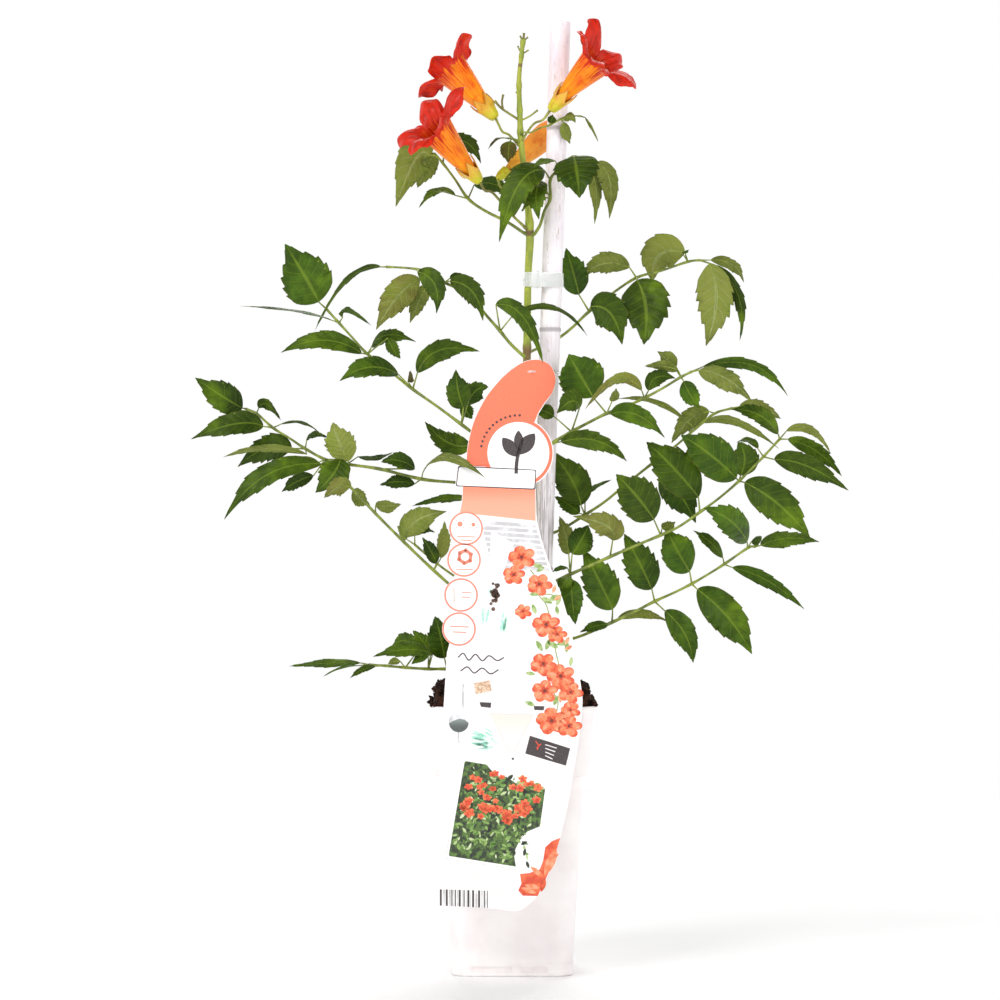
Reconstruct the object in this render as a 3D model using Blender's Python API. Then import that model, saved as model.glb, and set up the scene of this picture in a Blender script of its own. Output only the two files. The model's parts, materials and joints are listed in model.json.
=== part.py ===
"""Trumpet vine in a tall nursery pot, trained up a whitewashed cane, with a hanging card label.

Lengths are in millimetres until a mesh is made, when MM turns them to metres.
A place is written (x, y, z): x to the right, y away from the viewer, z up from the pot's underside.
x and z are given as they are seen from VIEWER on the plane y = 0, and seen() moves the place
along the line of sight to its own depth y.
"""
import math
from dataclasses import dataclass

import bmesh
import bpy
import numpy as np
from mathutils import Vector, noise

MM = 0.001
VIEWER = np.array([-8.9, -2500.0, 346.5])
SEEN_ZERO = 6.5

# pot
POT_BASE_HALF = 44.5
POT_BODY_TOP_HALF = 53.0
POT_COLLAR_LOW_HALF = 57.3
POT_RIM_HALF = 61.0
POT_FOOT_LEDGE = 9.0
POT_COLLAR_Z = 146.5
POT_HEIGHT = 197.0
POT_WALL = 1.6
POT_FLOOR = 2.4
POT_CORNER_STEPS = 3
SLOT_HEIGHT = 4.5
SOIL_GAP = 0.4
SOIL_EDGE_Z = 197.5

# cane and stem
CANE_FOOT = (13.5, 0.0, 33.5)
CANE_TOP = (35.9, 0.0, 700.2)
CANE_RADIUS = 7.5
CANE_NODES = (295.5, 472.5, 621.5)
STEM_RADIUS = 2.6
STEM_DEPTH = -9.0
HOLE_GAP = 0.6

# label card
CARD_TOP_Z = 449.5
CARD_TOP_Y = -15.2
CARD_RIM_Y = -63.2
CARD_THICKNESS = 0.9

BLADE_THICKNESS = 0.7
STALK_HALF_WIDTH = 0.7


def seen(place):
    """Move a place seen at (x, z) on the plane y = 0 along the viewer's ray to its own depth.

    Seen heights are read from a line SEEN_ZERO above the ground.
    """
    x, y, z = place
    reach = 1.0 + y / -VIEWER[1]
    rise = z - SEEN_ZERO - VIEWER[2]
    return np.array([VIEWER[0] + (x - VIEWER[0]) * reach, y, VIEWER[2] + rise * reach])


def unit(vector):
    return vector / np.linalg.norm(vector)


def smooth_route(points, steps):
    """Catmull-Rom curve through the points, steps samples a span."""
    pts = [np.asarray(p, float) for p in points]
    pts = [2 * pts[0] - pts[1]] + pts + [2 * pts[-1] - pts[-2]]
    route = []
    for a, b, c, d in zip(pts, pts[1:], pts[2:], pts[3:]):
        for step in range(steps):
            t = step / steps
            route.append(0.5 * (2 * b + (c - a) * t + (2 * a - 5 * b + 4 * c - d) * t * t
                                + (3 * b - a - 3 * c + d) * t ** 3))
    route.append(pts[-2])
    return route


def finish(name, roughness, colour, metallic=0.0):
    """A Principled material with one colour."""
    material = bpy.data.materials.new(name)
    material.use_nodes = True
    shader = material.node_tree.nodes["Principled BSDF"]
    shader.inputs["Base Color"].default_value = (*colour, 1.0)
    shader.inputs["Roughness"].default_value = roughness
    shader.inputs["Metallic"].default_value = metallic
    material.diffuse_color = (*colour, 1.0)
    return material


def add_object(name, mesh, material=None, smooth=False):
    thing = bpy.data.objects.new(name, mesh)
    bpy.context.scene.collection.objects.link(thing)
    if material is not None:
        mesh.materials.clear()
        mesh.materials.append(material)
    if smooth:
        mesh.shade_smooth()
        mesh.set_sharp_from_angle(angle=math.radians(40))
    return thing


def mesh_of(name, verts, faces):
    """A mesh in metres from points in millimetres, its faces turned to point out."""
    mesh = bpy.data.meshes.new(name)
    mesh.from_pydata([tuple(float(c) * MM for c in v) for v in verts], [], faces)
    bm = bmesh.new()
    bm.from_mesh(mesh)
    bmesh.ops.recalc_face_normals(bm, faces=bm.faces)
    bm.to_mesh(mesh)
    bm.free()
    return mesh


def loft(name, rings):
    """Skin a list of closed rings of equal length and cap both ends."""
    count = len(rings[0])
    verts = [p for ring in rings for p in ring]
    faces = []
    for row in range(len(rings) - 1):
        for k in range(count):
            a = row * count + k
            b = row * count + (k + 1) % count
            faces.append((a, b, b + count, a + count))
    faces.append(tuple(range(count)))
    faces.append(tuple(range((len(rings) - 1) * count, len(rings) * count)))
    return mesh_of(name, verts, faces)


def tube_mesh(name, route, radii, sides):
    """A round tube along the route, its rings carried without twist."""
    rings = []
    across = None
    for k, point in enumerate(route):
        ahead = unit(route[min(k + 1, len(route) - 1)] - route[max(k - 1, 0)])
        if across is None:
            start = np.array([0.0, -1.0, 0.0]) if abs(ahead[1]) < 0.9 else np.array([1.0, 0.0, 0.0])
            across = start
        across = unit(across - ahead * np.dot(across, ahead))
        up = np.cross(ahead, across)
        radius = radii[k]
        rings.append([point + radius * (across * math.cos(t) + up * math.sin(t))
                      for t in (2 * math.pi * s / sides for s in range(sides))])
    return loft(name, rings)


def keep_outer_body(mesh):
    """Drop loose scraps and the skins of sealed hollows, and say whether every edge has two faces."""
    bm = bmesh.new()
    bm.from_mesh(mesh)
    bodies = []
    reached = set()
    for start in bm.verts:
        if start in reached:
            continue
        body = []
        waiting = [start]
        while waiting:
            vert = waiting.pop()
            if vert not in reached:
                reached.add(vert)
                body.append(vert)
                waiting.extend(edge.other_vert(vert) for edge in vert.link_edges)
        bodies.append(body)
    bodies.sort(key=len)
    for body in bodies[:-1]:
        bmesh.ops.delete(bm, geom=body, context="VERTS")
    closed = all(len(edge.link_faces) == 2 for edge in bm.edges)
    bm.to_mesh(mesh)
    bm.free()
    return closed


def union(name, base_mesh, part_meshes, material):
    """Join the parts to the base with one Boolean on a collection, and apply it."""
    base = add_object(name, base_mesh, material)
    group = bpy.data.collections.new(name + "_parts")
    bpy.context.scene.collection.children.link(group)
    parts = []
    for k, mesh in enumerate(part_meshes):
        part = bpy.data.objects.new(f"{name}_part_{k}", mesh)
        mesh.materials.append(material)
        group.objects.link(part)
        parts.append(part)
    join = base.modifiers.new("join", "BOOLEAN")
    join.operation = "UNION"
    join.operand_type = "COLLECTION"
    join.collection = group
    for solver in ("MANIFOLD", "EXACT"):
        join.solver = solver
        graph = bpy.context.evaluated_depsgraph_get()
        joined = bpy.data.meshes.new_from_object(base.evaluated_get(graph))
        if keep_outer_body(joined):
            break
    base.modifiers.remove(join)
    base.data = joined
    joined.name = name
    for part in parts:
        bpy.data.objects.remove(part)
    bpy.data.collections.remove(group)
    return base


@dataclass(frozen=True)
class Leaf:
    """One leaflet: where it springs from, its blade's base and tip, its width and how it is turned.

    at is the index of its point on the frond's route. roll turns the blade about its own length:
    0 shows the upper face to the viewer, 90 is edge on, 180 shows the under face.
    via is the place that the middle of the midrib passes through.
    """

    at: int
    base: tuple
    tip: tuple
    width: float
    roll: float = 25.0
    via: tuple = None


@dataclass(frozen=True)
class Frond:
    name: str
    route: tuple
    leaves: tuple
    thick: float = 1.35


# share of the blade's length, share of its half width: teeth stand out and notches step in
BROAD_OUTLINE = ((0.0, 0.12), (0.15, 0.78), (0.42, 1.0), (0.47, 0.84), (0.76, 0.50))
NARROW_OUTLINE = ((0.0, 0.2), (0.36, 1.0), (0.66, 0.62))
BROAD_FROM = 12.0
BLADE_ARCH = 0.10
BLADE_FOLD = math.radians(16)
TIP_HALF_THICKNESS = 0.35


def blade_frames(leaf, root):
    """Points and cross directions along the midrib: a straight stalk, then a curve through via."""
    base, tip = seen(leaf.base), seen(leaf.tip)
    along = unit(tip - base)
    face = np.array([0.0, -1.0, 0.0])
    face = unit(face - along * np.dot(face, along))
    side = np.cross(along, face)
    turn = math.radians(leaf.roll)
    up = face * math.cos(turn) + side * math.sin(turn)
    middle = (base + tip) / 2
    if leaf.via is None:
        bend = middle + up * BLADE_ARCH * 2 * np.linalg.norm(tip - base)
    else:
        bend = 2 * seen(leaf.via) - middle
    outline = BROAD_OUTLINE if leaf.width >= BROAD_FROM else NARROW_OUTLINE
    stations = [(root, STALK_HALF_WIDTH, unit(base - root + 1e-6 * along))]
    for share, half in outline:
        point = (1 - share) ** 2 * base + 2 * share * (1 - share) * bend + share ** 2 * tip
        ahead = unit((1 - share) * (bend - base) + share * (tip - bend))
        stations.append((point, half * leaf.width / 2, ahead))
    return stations, tip, up


def blade_mesh(name, leaf, root):
    """A leaflet with a toothed outline, folded along its midrib, of even thickness."""
    stations, tip, up = blade_frames(leaf, root)
    verts = []
    for point, half, ahead in stations:
        side = unit(np.cross(ahead, up))
        normal = np.cross(side, ahead)
        rise = half * math.sin(BLADE_FOLD)
        reach = half * math.cos(BLADE_FOLD)
        for share in (-1, 0, 1):
            top = point + side * reach * share + normal * rise * abs(share)
            verts.append(top + normal * BLADE_THICKNESS / 2)
            verts.append(top - normal * BLADE_THICKNESS / 2)
    end = unit(np.cross(unit(np.cross(ahead, up)), ahead))
    verts.append(tip + end * TIP_HALF_THICKNESS)
    verts.append(tip - end * TIP_HALF_THICKNESS)
    faces = []
    rows = len(stations)
    for row in range(rows - 1):
        a, b = 6 * row, 6 * row + 6
        for k in (0, 2):
            mirrored = (k == 2)
            for low in (0, 1):
                p, q, r, s = a + k + low, a + k + 2 + low, b + k + 2 + low, b + k + low
                faces += [(p, q, s), (q, r, s)] if mirrored else [(p, q, r), (p, r, s)]
        for k in (0, 4):
            faces += [(a + k, a + k + 1, b + k + 1), (a + k, b + k + 1, b + k)]
    last = 6 * (rows - 1)
    end_top, end_low = 6 * rows, 6 * rows + 1
    for k in (0, 2):
        faces.append((last + k, last + k + 2, end_top))
        faces.append((last + k + 1, last + k + 3, end_low))
    for k in (0, 4):
        faces += [(last + k, last + k + 1, end_low), (last + k, end_low, end_top)]
    faces += [(0, 1, 3), (0, 3, 2), (2, 3, 5), (2, 5, 4)]
    return mesh_of(name, verts, faces)


def make_frond(frond, material):
    """A rachis with its leaflets sunk into it, joined in one body."""
    route = [seen(p) for p in frond.route]
    radii = [frond.thick * (1.0 - 0.36 * k / (len(route) - 1)) for k in range(len(route))]
    rachis = tube_mesh(frond.name, route, radii, 4)
    blades = [blade_mesh(f"{frond.name}_blade_{k}", leaf, route[leaf.at])
              for k, leaf in enumerate(frond.leaves)]
    return union(frond.name, rachis, blades, material)


FRONDS = (
    Frond("frond_crown_left", (
        (8.2, -9, 551), (-4, -8, 559), (-20, -6, 567), (-32.5, -4, 576), (-42, 0, 590), (-51, 4, 602),
        (-56, 6, 608)), (
        Leaf(3, (-42, -8, 578.5), (-69, -14, 569), 12, 60, (-56, -10, 580.5)),
        Leaf(3, (-28, 4, 586), (0, 20, 578), 12, 30, (-14, 14, 587)),
        Leaf(5, (-50, 12, 616), (-23, 18, 602), 13, 30, (-34, 14, 618)),
        Leaf(5, (-57, 20, 610), (-70, 26, 584), 15, 160),
        Leaf(6, (-61, 6, 608), (-86, 2, 570), 26, 158, (-72, 8, 604)))),
    Frond("frond_crown_right", (
        (17.2, -12, 550.5), (21, -15, 557), (24, -16, 567), (28.3, -16, 576), (28.3, -16, 590),
        (35, -16, 598), (45, -12, 607), (57, 2, 604)), (
        Leaf(3, (22, -22, 589), (20, -36, 560.5), 15, 15, (18, -34, 579)),
        Leaf(3, (20, -13, 578), (7, -17, 566), 8, 60),
        Leaf(4, (24, -24, 597), (-9.5, -34, 544), 22, 20, (5, -40, 586)),
        Leaf(5, (32, -22, 604), (14, -30, 598), 9, 55),
        Leaf(6, (46, -20, 607), (50, -44, 576.5), 31, 4, (48, -34, 595)),
        Leaf(7, (56, 6, 598), (61, 0, 557), 10, 150, (62, 6, 584)),
        Leaf(7, (62, 3, 602), (72, -4, 561), 14, 165, (72, 4, 590)))),
    Frond("shoot_young_right", (
        (8.2, -14.5, 625.3), (14, -14, 625), (20, -13, 628), (28, -12, 630.5), (36, -12, 635),
        (43, -10, 637.3), (51, -8, 637)), (
        Leaf(4, (38, -14, 634), (47, -16, 632), 8, 150, (43, -18, 637)),
        Leaf(4, (38, -13, 632.5), (43, -11, 616.5), 8, 165),
        Leaf(6, (54, -8, 636), (64, -6, 617.5), 4.5, 120, (59, -6, 629))), 0.7),
    Frond("shoot_young_left", (
        (3.4, -12, 619.5), (0, -13, 620.5), (-3, -14, 620.6)), (
        Leaf(2, (-6, -15, 621), (-18, -20, 612), 4.5, 60, (-12, -20, 619)),
        Leaf(1, (-1.6, -18, 618.5), (-3, -20, 602.5), 12, 10)), 0.8),
    Frond("frond_left_high", (
        (6.8, -12, 461), (-1.5, -12, 469), (-8.8, -11, 478), (-18, -8, 488.5), (-27, -4, 499),
        (-38, 2, 508), (-50, 8, 514), (-59, 13, 519), (-69, 18, 523.5), (-82, 22, 525), (-93, 26, 525.5)), (
        Leaf(2, (-12, -22, 497.5), (23, -27, 454), 13, 28, (8, -36, 489)),
        Leaf(2, (1, -17, 490), (56, -27, 474), 8, 66, (31, -25, 496)),
        Leaf(6, (-46, -2, 515), (-21.5, -16, 485.5), 16, 20, (-29, -14, 507)),
        Leaf(6, (-46, 14, 517), (-24, 16, 506), 11, 35, (-37, 15, 516)),
        Leaf(7, (-62, 26, 513), (-75.5, 34, 484), 12, 160),
        Leaf(8, (-70, 8, 522), (-56, -2, 491), 15, 14, (-57, -2, 512)),
        Leaf(8, (-68, 24, 516.5), (-100.5, 30, 479), 21, 166, (-85, 22, 503)),
        Leaf(10, (-97, 27, 525.5), (-146, 34, 478), 9, 62, (-122, 36, 515)))),
    Frond("frond_left_mid", (
        (5.0, -10, 386), (-10, -10, 391), (-24, -12, 399), (-37.5, -16, 409), (-55, -24, 422),
        (-73.5, -32, 435), (-90, -38, 448), (-107, -44, 461), (-118, -48, 473), (-128, -52, 484),
        (-137, -55, 494)), (
        Leaf(2, (-30, -6, 394), (-64.5, 4, 411), 18, 30, (-47, -2, 395)),
        Leaf(3, (-36, -20, 421), (-41.5, -30, 449.5), 17, 12, (-40, -30, 434)),
        Leaf(3, (-33, -13, 423), (-17.5, -16, 436.5), 16, 30, (-27, -18, 434)),
        Leaf(5, (-84, -40, 446), (-127.5, -60, 441), 17, 30, (-106, -56, 451)),
        Leaf(5, (-70, -28, 447), (-24, -20, 463), 17, 34, (-54, -24, 464)),
        Leaf(7, (-111, -46, 461.5), (-171, -56, 462), 15, 30, (-140, -58, 471)),
        Leaf(7, (-104, -38, 466), (-71, -26, 470), 13, 44, (-92, -28, 475.5)),
        Leaf(7, (-92, -32, 473), (-82.5, -30, 457.5), 9, 20),
        Leaf(9, (-133, -54, 486), (-202, -62, 496.5), 7, 74, (-162, -60, 493)),
        Leaf(9, (-125.5, -46, 488), (-104, -38, 482), 8, 62, (-122, -42, 494)),
        Leaf(10, (-143, -57, 499.5), (-168, -66, 542.5), 33, 6, (-153, -68, 518)))),
    Frond("frond_left_long", (
        (6.6, -4, 359), (-20, 2, 364), (-42, 6, 366), (-67, 10, 368.5), (-98, 16, 376), (-122, 22, 379.5),
        (-138, 26, 383), (-153, 30, 391), (-165, 33, 399), (-177, 36, 406.5), (-189, 39, 417),
        (-197, 41, 420.5)), (
        Leaf(1, (-31, 1, 354), (-74, -4, 348.5), 9, 50, (-52, -2, 353)),
        Leaf(3, (-66, 1, 373), (-20, -44, 369.5), 10, 128, (-49, -22, 385)),
        Leaf(3, (-72, 14, 365), (-98, 16, 364), 12, 40),
        Leaf(4, (-72, 8, 376), (-97, 4, 381), 13, 30, (-84, 2, 382)),
        Leaf(5, (-121, 14, 381.5), (-132.5, 4, 410.5), 22, 168, (-128, 6, 396)),
        Leaf(5, (-114, 28, 385), (-88, 34, 388.5), 7, 60),
        Leaf(6, (-127, 14, 383), (-145.5, 6, 358.5), 22, 14, (-133, 6, 371)),
        Leaf(6, (-141, 18, 379.5), (-213, 8, 338.5), 17, 26, (-182, 6, 371)),
        Leaf(6, (-147, 34, 371), (-170.5, 40, 359), 12, 30),
        Leaf(7, (-152, 22, 387), (-214, 16, 384.5), 9, 124, (-184, 16, 391)),
        Leaf(7, (-163, 38, 391), (-203, 46, 377.5), 20, 20, (-182, 38, 391)),
        Leaf(9, (-184, 32, 407.5), (-237.5, 26, 398), 18, 22, (-206, 24, 409)),
        Leaf(9, (-171, 36, 409), (-142, 38, 402), 6, 70, (-156, 36, 411)),
        Leaf(11, (-199.5, 40, 421), (-234.5, 34, 443.5), 21, 12, (-215, 32, 430)))),
    Frond("frond_left_low", (
        (-0.8, -11.5, 266), (-18, -14, 273), (-38, -18, 284), (-58, -23, 301), (-80, -29, 322), (-101, -35, 343),
        (-119, -40, 362), (-127, -42, 370)), (
        Leaf(3, (-56, -26, 306), (-66.5, -30, 325.5), 10, 20),
        Leaf(3, (-52.5, -20, 310), (-50, -16, 337.5), 9.5, 165),
        Leaf(4, (-79, -30, 325), (-48.5, -26, 344.5), 18, 168, (-70, -34, 338)),
        Leaf(5, (-101, -30, 349), (-82, -20, 350), 10, 150),
        Leaf(6, (-119, -44, 363), (-139, -50, 354.5), 14, 155, (-129, -52, 362)),
        Leaf(6, (-118, -34, 360), (-105, -26, 349), 12, 150))),
    Frond("frond_left_low_back", (
        (6.4, -6, 274), (-18, -2, 282), (-43, 4, 297), (-58, 6, 308), (-72, 8, 320)), (
        Leaf(4, (-72, 8, 327), (-57, 12, 329), 7, 40, (-66, 10, 331)),
        Leaf(4, (-78, 9, 324), (-85, 14, 334), 8, 150)), 1.1),
    Frond("frond_left_bottom", (
        (-3.4, -10.5, 226.5), (-24, -10, 227), (-48, -12, 228), (-62, -14, 228), (-79, -17, 229), (-93, -19, 230.3),
        (-106, -21, 231.2)), (
        Leaf(2, (-50, -14, 236), (-57, -22, 267), 20, 14, (-53, -24, 252)),
        Leaf(3, (-59, -12, 238), (-73.5, -8, 256.5), 12, 20),
        Leaf(3, (-60, -26, 240), (-103, -34, 237), 12, 34, (-80, -34, 242)),
        Leaf(4, (-70, -4, 241), (-90, 4, 242), 12, 24, (-80, -2, 249)),
        Leaf(3, (-62, -30, 239), (-74.5, -34, 231.5), 7, 24),
        Leaf(6, (-112, -20, 232.5), (-165, -26, 230), 8, 48, (-138, -24, 232)),
        Leaf(5, (-101, -26, 230), (-120, -32, 221), 6, 40, (-111, -30, 227)))),
    Frond("frond_right_high", (
        (12.6, -4.5, 461), (14.2, 4, 463), (22, 14, 466.5), (34, 16, 472.5), (45, 18, 481), (57, 20, 492.5),
        (73, 23, 505), (92, 27, 517.5), (110, 31, 522.5), (130, 35, 529.3), (139, 37, 530.5)), (
        Leaf(5, (49.5, 19, 505), (40, 21, 539.5), 21, 18, (45, 16, 522)),
        Leaf(5, (58, 16, 496), (81.5, 8, 468), 25, 12, (73, 8, 491)),
        Leaf(7, (87, 30, 525), (51, 36, 518), 17, 148, (68, 30, 528)),
        Leaf(7, (92.5, 18, 516), (97.5, -2, 468), 34, 5, (99, 8, 495)),
        Leaf(9, (128, 42, 536), (104, 48, 514), 27, 164, (109, 46, 534)),
        Leaf(10, (146, 33, 528), (143.5, 24, 467), 28, 168, (151, 26, 501)),
        Leaf(10, (150, 42, 527), (168.5, 34, 471), 10, 36, (168, 38, 503)),
        Leaf(10, (147, 50, 530.5), (171.5, 52, 514), 10, 148, (163, 52, 527)))),
    Frond("frond_right_mid", (
        (15.4, -14.5, 383), (30, -20, 395), (44, -25, 403.5), (58, -29, 411), (70, -32, 417), (85, -36, 422.5),
        (98, -39, 428.5), (112, -43, 436), (125, -47, 444), (133, -49, 448)), (
        Leaf(2, (31, -17.5, 415), (17, -16.6, 421), 11, 20),
        Leaf(2, (50, -32, 421), (33, -36, 417), 16, 18, (44, -40, 426)),
        Leaf(1, (36, -23, 396), (85, -40, 381.5), 15, 30, (63, -44, 397)),
        Leaf(4, (60, -26, 429), (42, -22, 461), 31, 10, (50, -22, 446)),
        Leaf(4, (73, -38, 416.5), (113, -56, 399), 14, 26, (93, -54, 416)),
        Leaf(6, (96, -46, 434), (54, -50, 420), 10, 132, (78, -52, 442)),
        Leaf(6, (101, -36, 434), (121, -34, 443), 13, 30, (107, -36, 444)),
        Leaf(8, (123, -42, 449), (98, -34, 452), 9, 140, (112, -38, 452)),
        Leaf(8, (121, -38, 450), (107.5, -30, 463), 12, 150),
        Leaf(8, (127, -46, 441), (139, -48, 420.5), 13, 22),
        Leaf(9, (138, -53, 449), (177.5, -64, 426), 17, 152, (158, -64, 443)),
        Leaf(9, (141, -46, 451.5), (204, -48, 430), 10, 38, (178, -46, 453)))),
    Frond("frond_right_back", (
        (11.5, -5.2, 318), (13, 3, 321), (16.5, 10, 324), (26, 14, 327), (38, 15, 332), (54, 18, 342), (69, 20, 352), (86, 23, 366),
        (105, 26, 381), (121, 28, 393), (136, 30, 406), (150, 32, 417), (163, 34, 421)), (
        Leaf(5, (51, 16, 349), (29, 16, 389), 24, 14, (44, 13, 368)),
        Leaf(5, (54, 20, 357), (74, 26, 368), 7, 60, (61, 22, 363)),
        Leaf(5, (50, 18, 343), (31.5, 21, 355.5), 12, 22),
        Leaf(8, (110, 25, 374), (136, 14, 336), 24, 18, (124, 12, 358)),
        Leaf(10, (128, 26, 412), (76, 20, 427.5), 6, 126, (104, 22, 426)),
        Leaf(10, (142, 27, 410), (198, 20, 390.5), 8, 140, (166, 20, 411)),
        Leaf(11, (146, 36, 418.5), (118, 38, 395), 15, 160, (131, 38, 412)),
        Leaf(12, (168, 35, 422), (199, 36, 413), 14, 155, (184, 34, 421)))),
    Frond("frond_right_long", (
        (13.4, -12, 284), (28, -15, 291), (43, -18, 298), (58, -20, 304.5), (72.5, -22, 311), (91, -24, 319),
        (110, -26, 327), (123, -27, 333), (139, -28, 344), (154, -29, 355), (168, -30, 367), (177, -31, 376),
        (186, -32, 385), (198, -33, 398)), (
        Leaf(2, (44.5, -12, 313), (56.5, -6, 334.5), 18, 14),
        Leaf(2, (42, -11, 313), (35, 5, 341), 13, 158),
        Leaf(2, (44, -24, 294), (47, -34, 261), 16, 12),
        Leaf(2, (42, -22, 296), (36, -32, 285), 11, 30),
        Leaf(4, (74.5, -26, 323), (45, -32, 341), 18, 164, (70, -36, 334)),
        Leaf(6, (105, -30, 338.5), (77, -38, 372), 28, 8, (92, -40, 356)),
        Leaf(8, (138, -30, 355), (99.5, -30, 396), 28, 10, (119, -38, 377)),
        Leaf(10, (166, -32, 369), (125, -44, 401), 27, 10, (146, -48, 387)),
        Leaf(10, (169, -26, 371), (167, -26, 396), 20, 16, (172, -30, 385)),
        Leaf(10, (172, -34, 366), (220.5, -46, 325), 24, 8, (197, -48, 350)),
        Leaf(12, (194, -37, 383), (249, -50, 360), 16, 20, (219, -50, 378)),
        Leaf(13, (204, -32, 398), (244, -38, 370.5), 12, 26, (226, -38, 389)),
        Leaf(13, (197, -40, 402), (162, -46, 420), 14, 28, (182, -50, 416)),
        Leaf(13, (203, -29, 404), (236, -22, 387), 7, 150, (221, -24, 405)))),
    Frond("frond_right_bottom", (
        (2, -5.6, 237), (4, 3, 239), (10, 11, 242), (21, 13.5, 246), (47, 11, 251), (74, 8, 262.5), (90, 8, 270), (105.5, 7, 278),
        (120, 5, 284.5), (133, 3, 291), (145, 1, 298), (157, -2, 305.5), (174.5, -6, 317.5), (180, -8, 318.5)), (
        Leaf(5, (74.5, 3, 272), (53, -4, 315.5), 25, 8, (64, -8, 294)),
        Leaf(5, (78, 12, 265), (117.5, 20, 262), 8, 140, (97, 16, 269)),
        Leaf(7, (103.5, 1, 287), (83, -8, 328), 24, 8, (94, -10, 307)),
        Leaf(7, (113, 0, 271), (134, -14, 232.5), 17, 20, (128, -12, 254)),
        Leaf(9, (131.5, 0, 300), (114, -12, 332.5), 23, 12, (122, -14, 316)),
        Leaf(9, (137, 0, 287), (177.5, -18, 239), 24, 8, (160, -18, 266)),
        Leaf(11, (156, -4, 310.5), (134, -8, 330.5), 10, 36, (146, -10, 322)),
        Leaf(11, (163, -4, 303), (216.5, -16, 272), 11, 30, (190, -14, 293)),
        Leaf(12, (174, -12, 322), (142, -46, 347), 20, 10, (161, -44, 338)),
        Leaf(13, (184, -9, 319.3), (227.5, -18, 322), 15, 40, (204, -18, 325)))),
)


@dataclass(frozen=True)
class Bloom:
    """A trumpet flower: its axis as seen, its mouth's radius, how far each lobe reaches and folds out."""

    name: str
    axis: tuple
    mouth: float
    reaches: tuple
    folds: tuple
    spin: float = 0.0


BLOOMS = (
    Bloom("low_left", ((-24, -17, 588.5), (-38, -26, 605), (-56, -40, 627)), 12.5,
          (25, 18, 19, 20, 21), (52, 40, 62, 66, 50)),
    Bloom("high_left", ((-12.3, -9.5, 635.5), (-26, -6, 651), (-42, 2, 669)), 12.5,
          (20, 19, 20, 18, 21), (46, 60, 66, 50, 24), 36.0),
    Bloom("right", ((28.5, -18, 641.5), (44, -25, 659), (61.5, -36, 677)), 12.0,
          (24, 18, 19, 24, 19), (58, 50, 40, 34, 60)),
)
CALYX_SHARE = 0.36
TUBE_PROFILE = ((0.06, 0.25), (0.34, 0.45), (0.68, 0.74), (1.0, 1.0))
LOBE_STEPS = (0.0, 0.55, 1.0)
PETAL_THICKNESS = 0.8
AROUND = 20
LOBES = 5


def axis_frames(axis, shares):
    """Point, heading, first side and viewer's side at each share of a smooth axis."""
    route = smooth_route([seen(p) for p in axis], 12)
    frames = []
    for share in shares:
        place = share * (len(route) - 1)
        k = min(int(place), len(route) - 2)
        point = route[k] + (route[k + 1] - route[k]) * (place - k)
        ahead = unit(route[k + 1] - route[k])
        first = unit(np.cross(ahead, np.array([0.0, -1.0, 0.0])))
        frames.append((point, ahead, first, np.cross(first, ahead)))
    return frames


def lobe_values(bloom, phi):
    """Reach and fold of the rim at angle phi, rounded to each lobe and notched between lobes."""
    place = (phi - math.radians(bloom.spin)) / (2 * math.pi) * LOBES
    lobe = round(place) % LOBES
    off = abs(place - round(place)) * 2
    shape = max(0.12, math.cos(off * math.pi / 2 * 0.97)) ** 0.55
    return bloom.reaches[lobe] * shape, math.radians(bloom.folds[lobe])


def corolla_rings(bloom, inward):
    """Rings of the flower's skin from the foot of its tube to the rim of its lobes."""
    rings = []
    frames = axis_frames(bloom.axis, [share for share, _ in TUBE_PROFILE])
    angles = [2 * math.pi * (k / AROUND) + math.radians(bloom.spin) for k in range(AROUND)]
    for (point, ahead, first, near), (_, size) in zip(frames, TUBE_PROFILE):
        radius = bloom.mouth * size - inward
        rings.append([point + radius * (first * math.cos(a) + near * math.sin(a)) for a in angles])
    for step in LOBE_STEPS[1:]:
        ring = []
        for angle in angles:
            out = first * math.cos(angle) + near * math.sin(angle)
            reach, fold = lobe_values(bloom, angle)
            lean = fold * (0.45 + 0.55 * step)
            start = point + out * bloom.mouth
            skin = -ahead * math.sin(lean) + out * math.cos(lean)
            ring.append(start + reach * step * (ahead * math.cos(lean) + out * math.sin(lean)) - skin * inward)
        rings.append(ring)
    return rings


def make_corolla(bloom, material):
    """A trumpet of even thickness, open at its mouth."""
    outer = corolla_rings(bloom, 0.0)
    inner = corolla_rings(bloom, PETAL_THICKNESS)
    return add_object("corolla_" + bloom.name, loft("corolla", outer + inner[::-1]), material, True)


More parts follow.
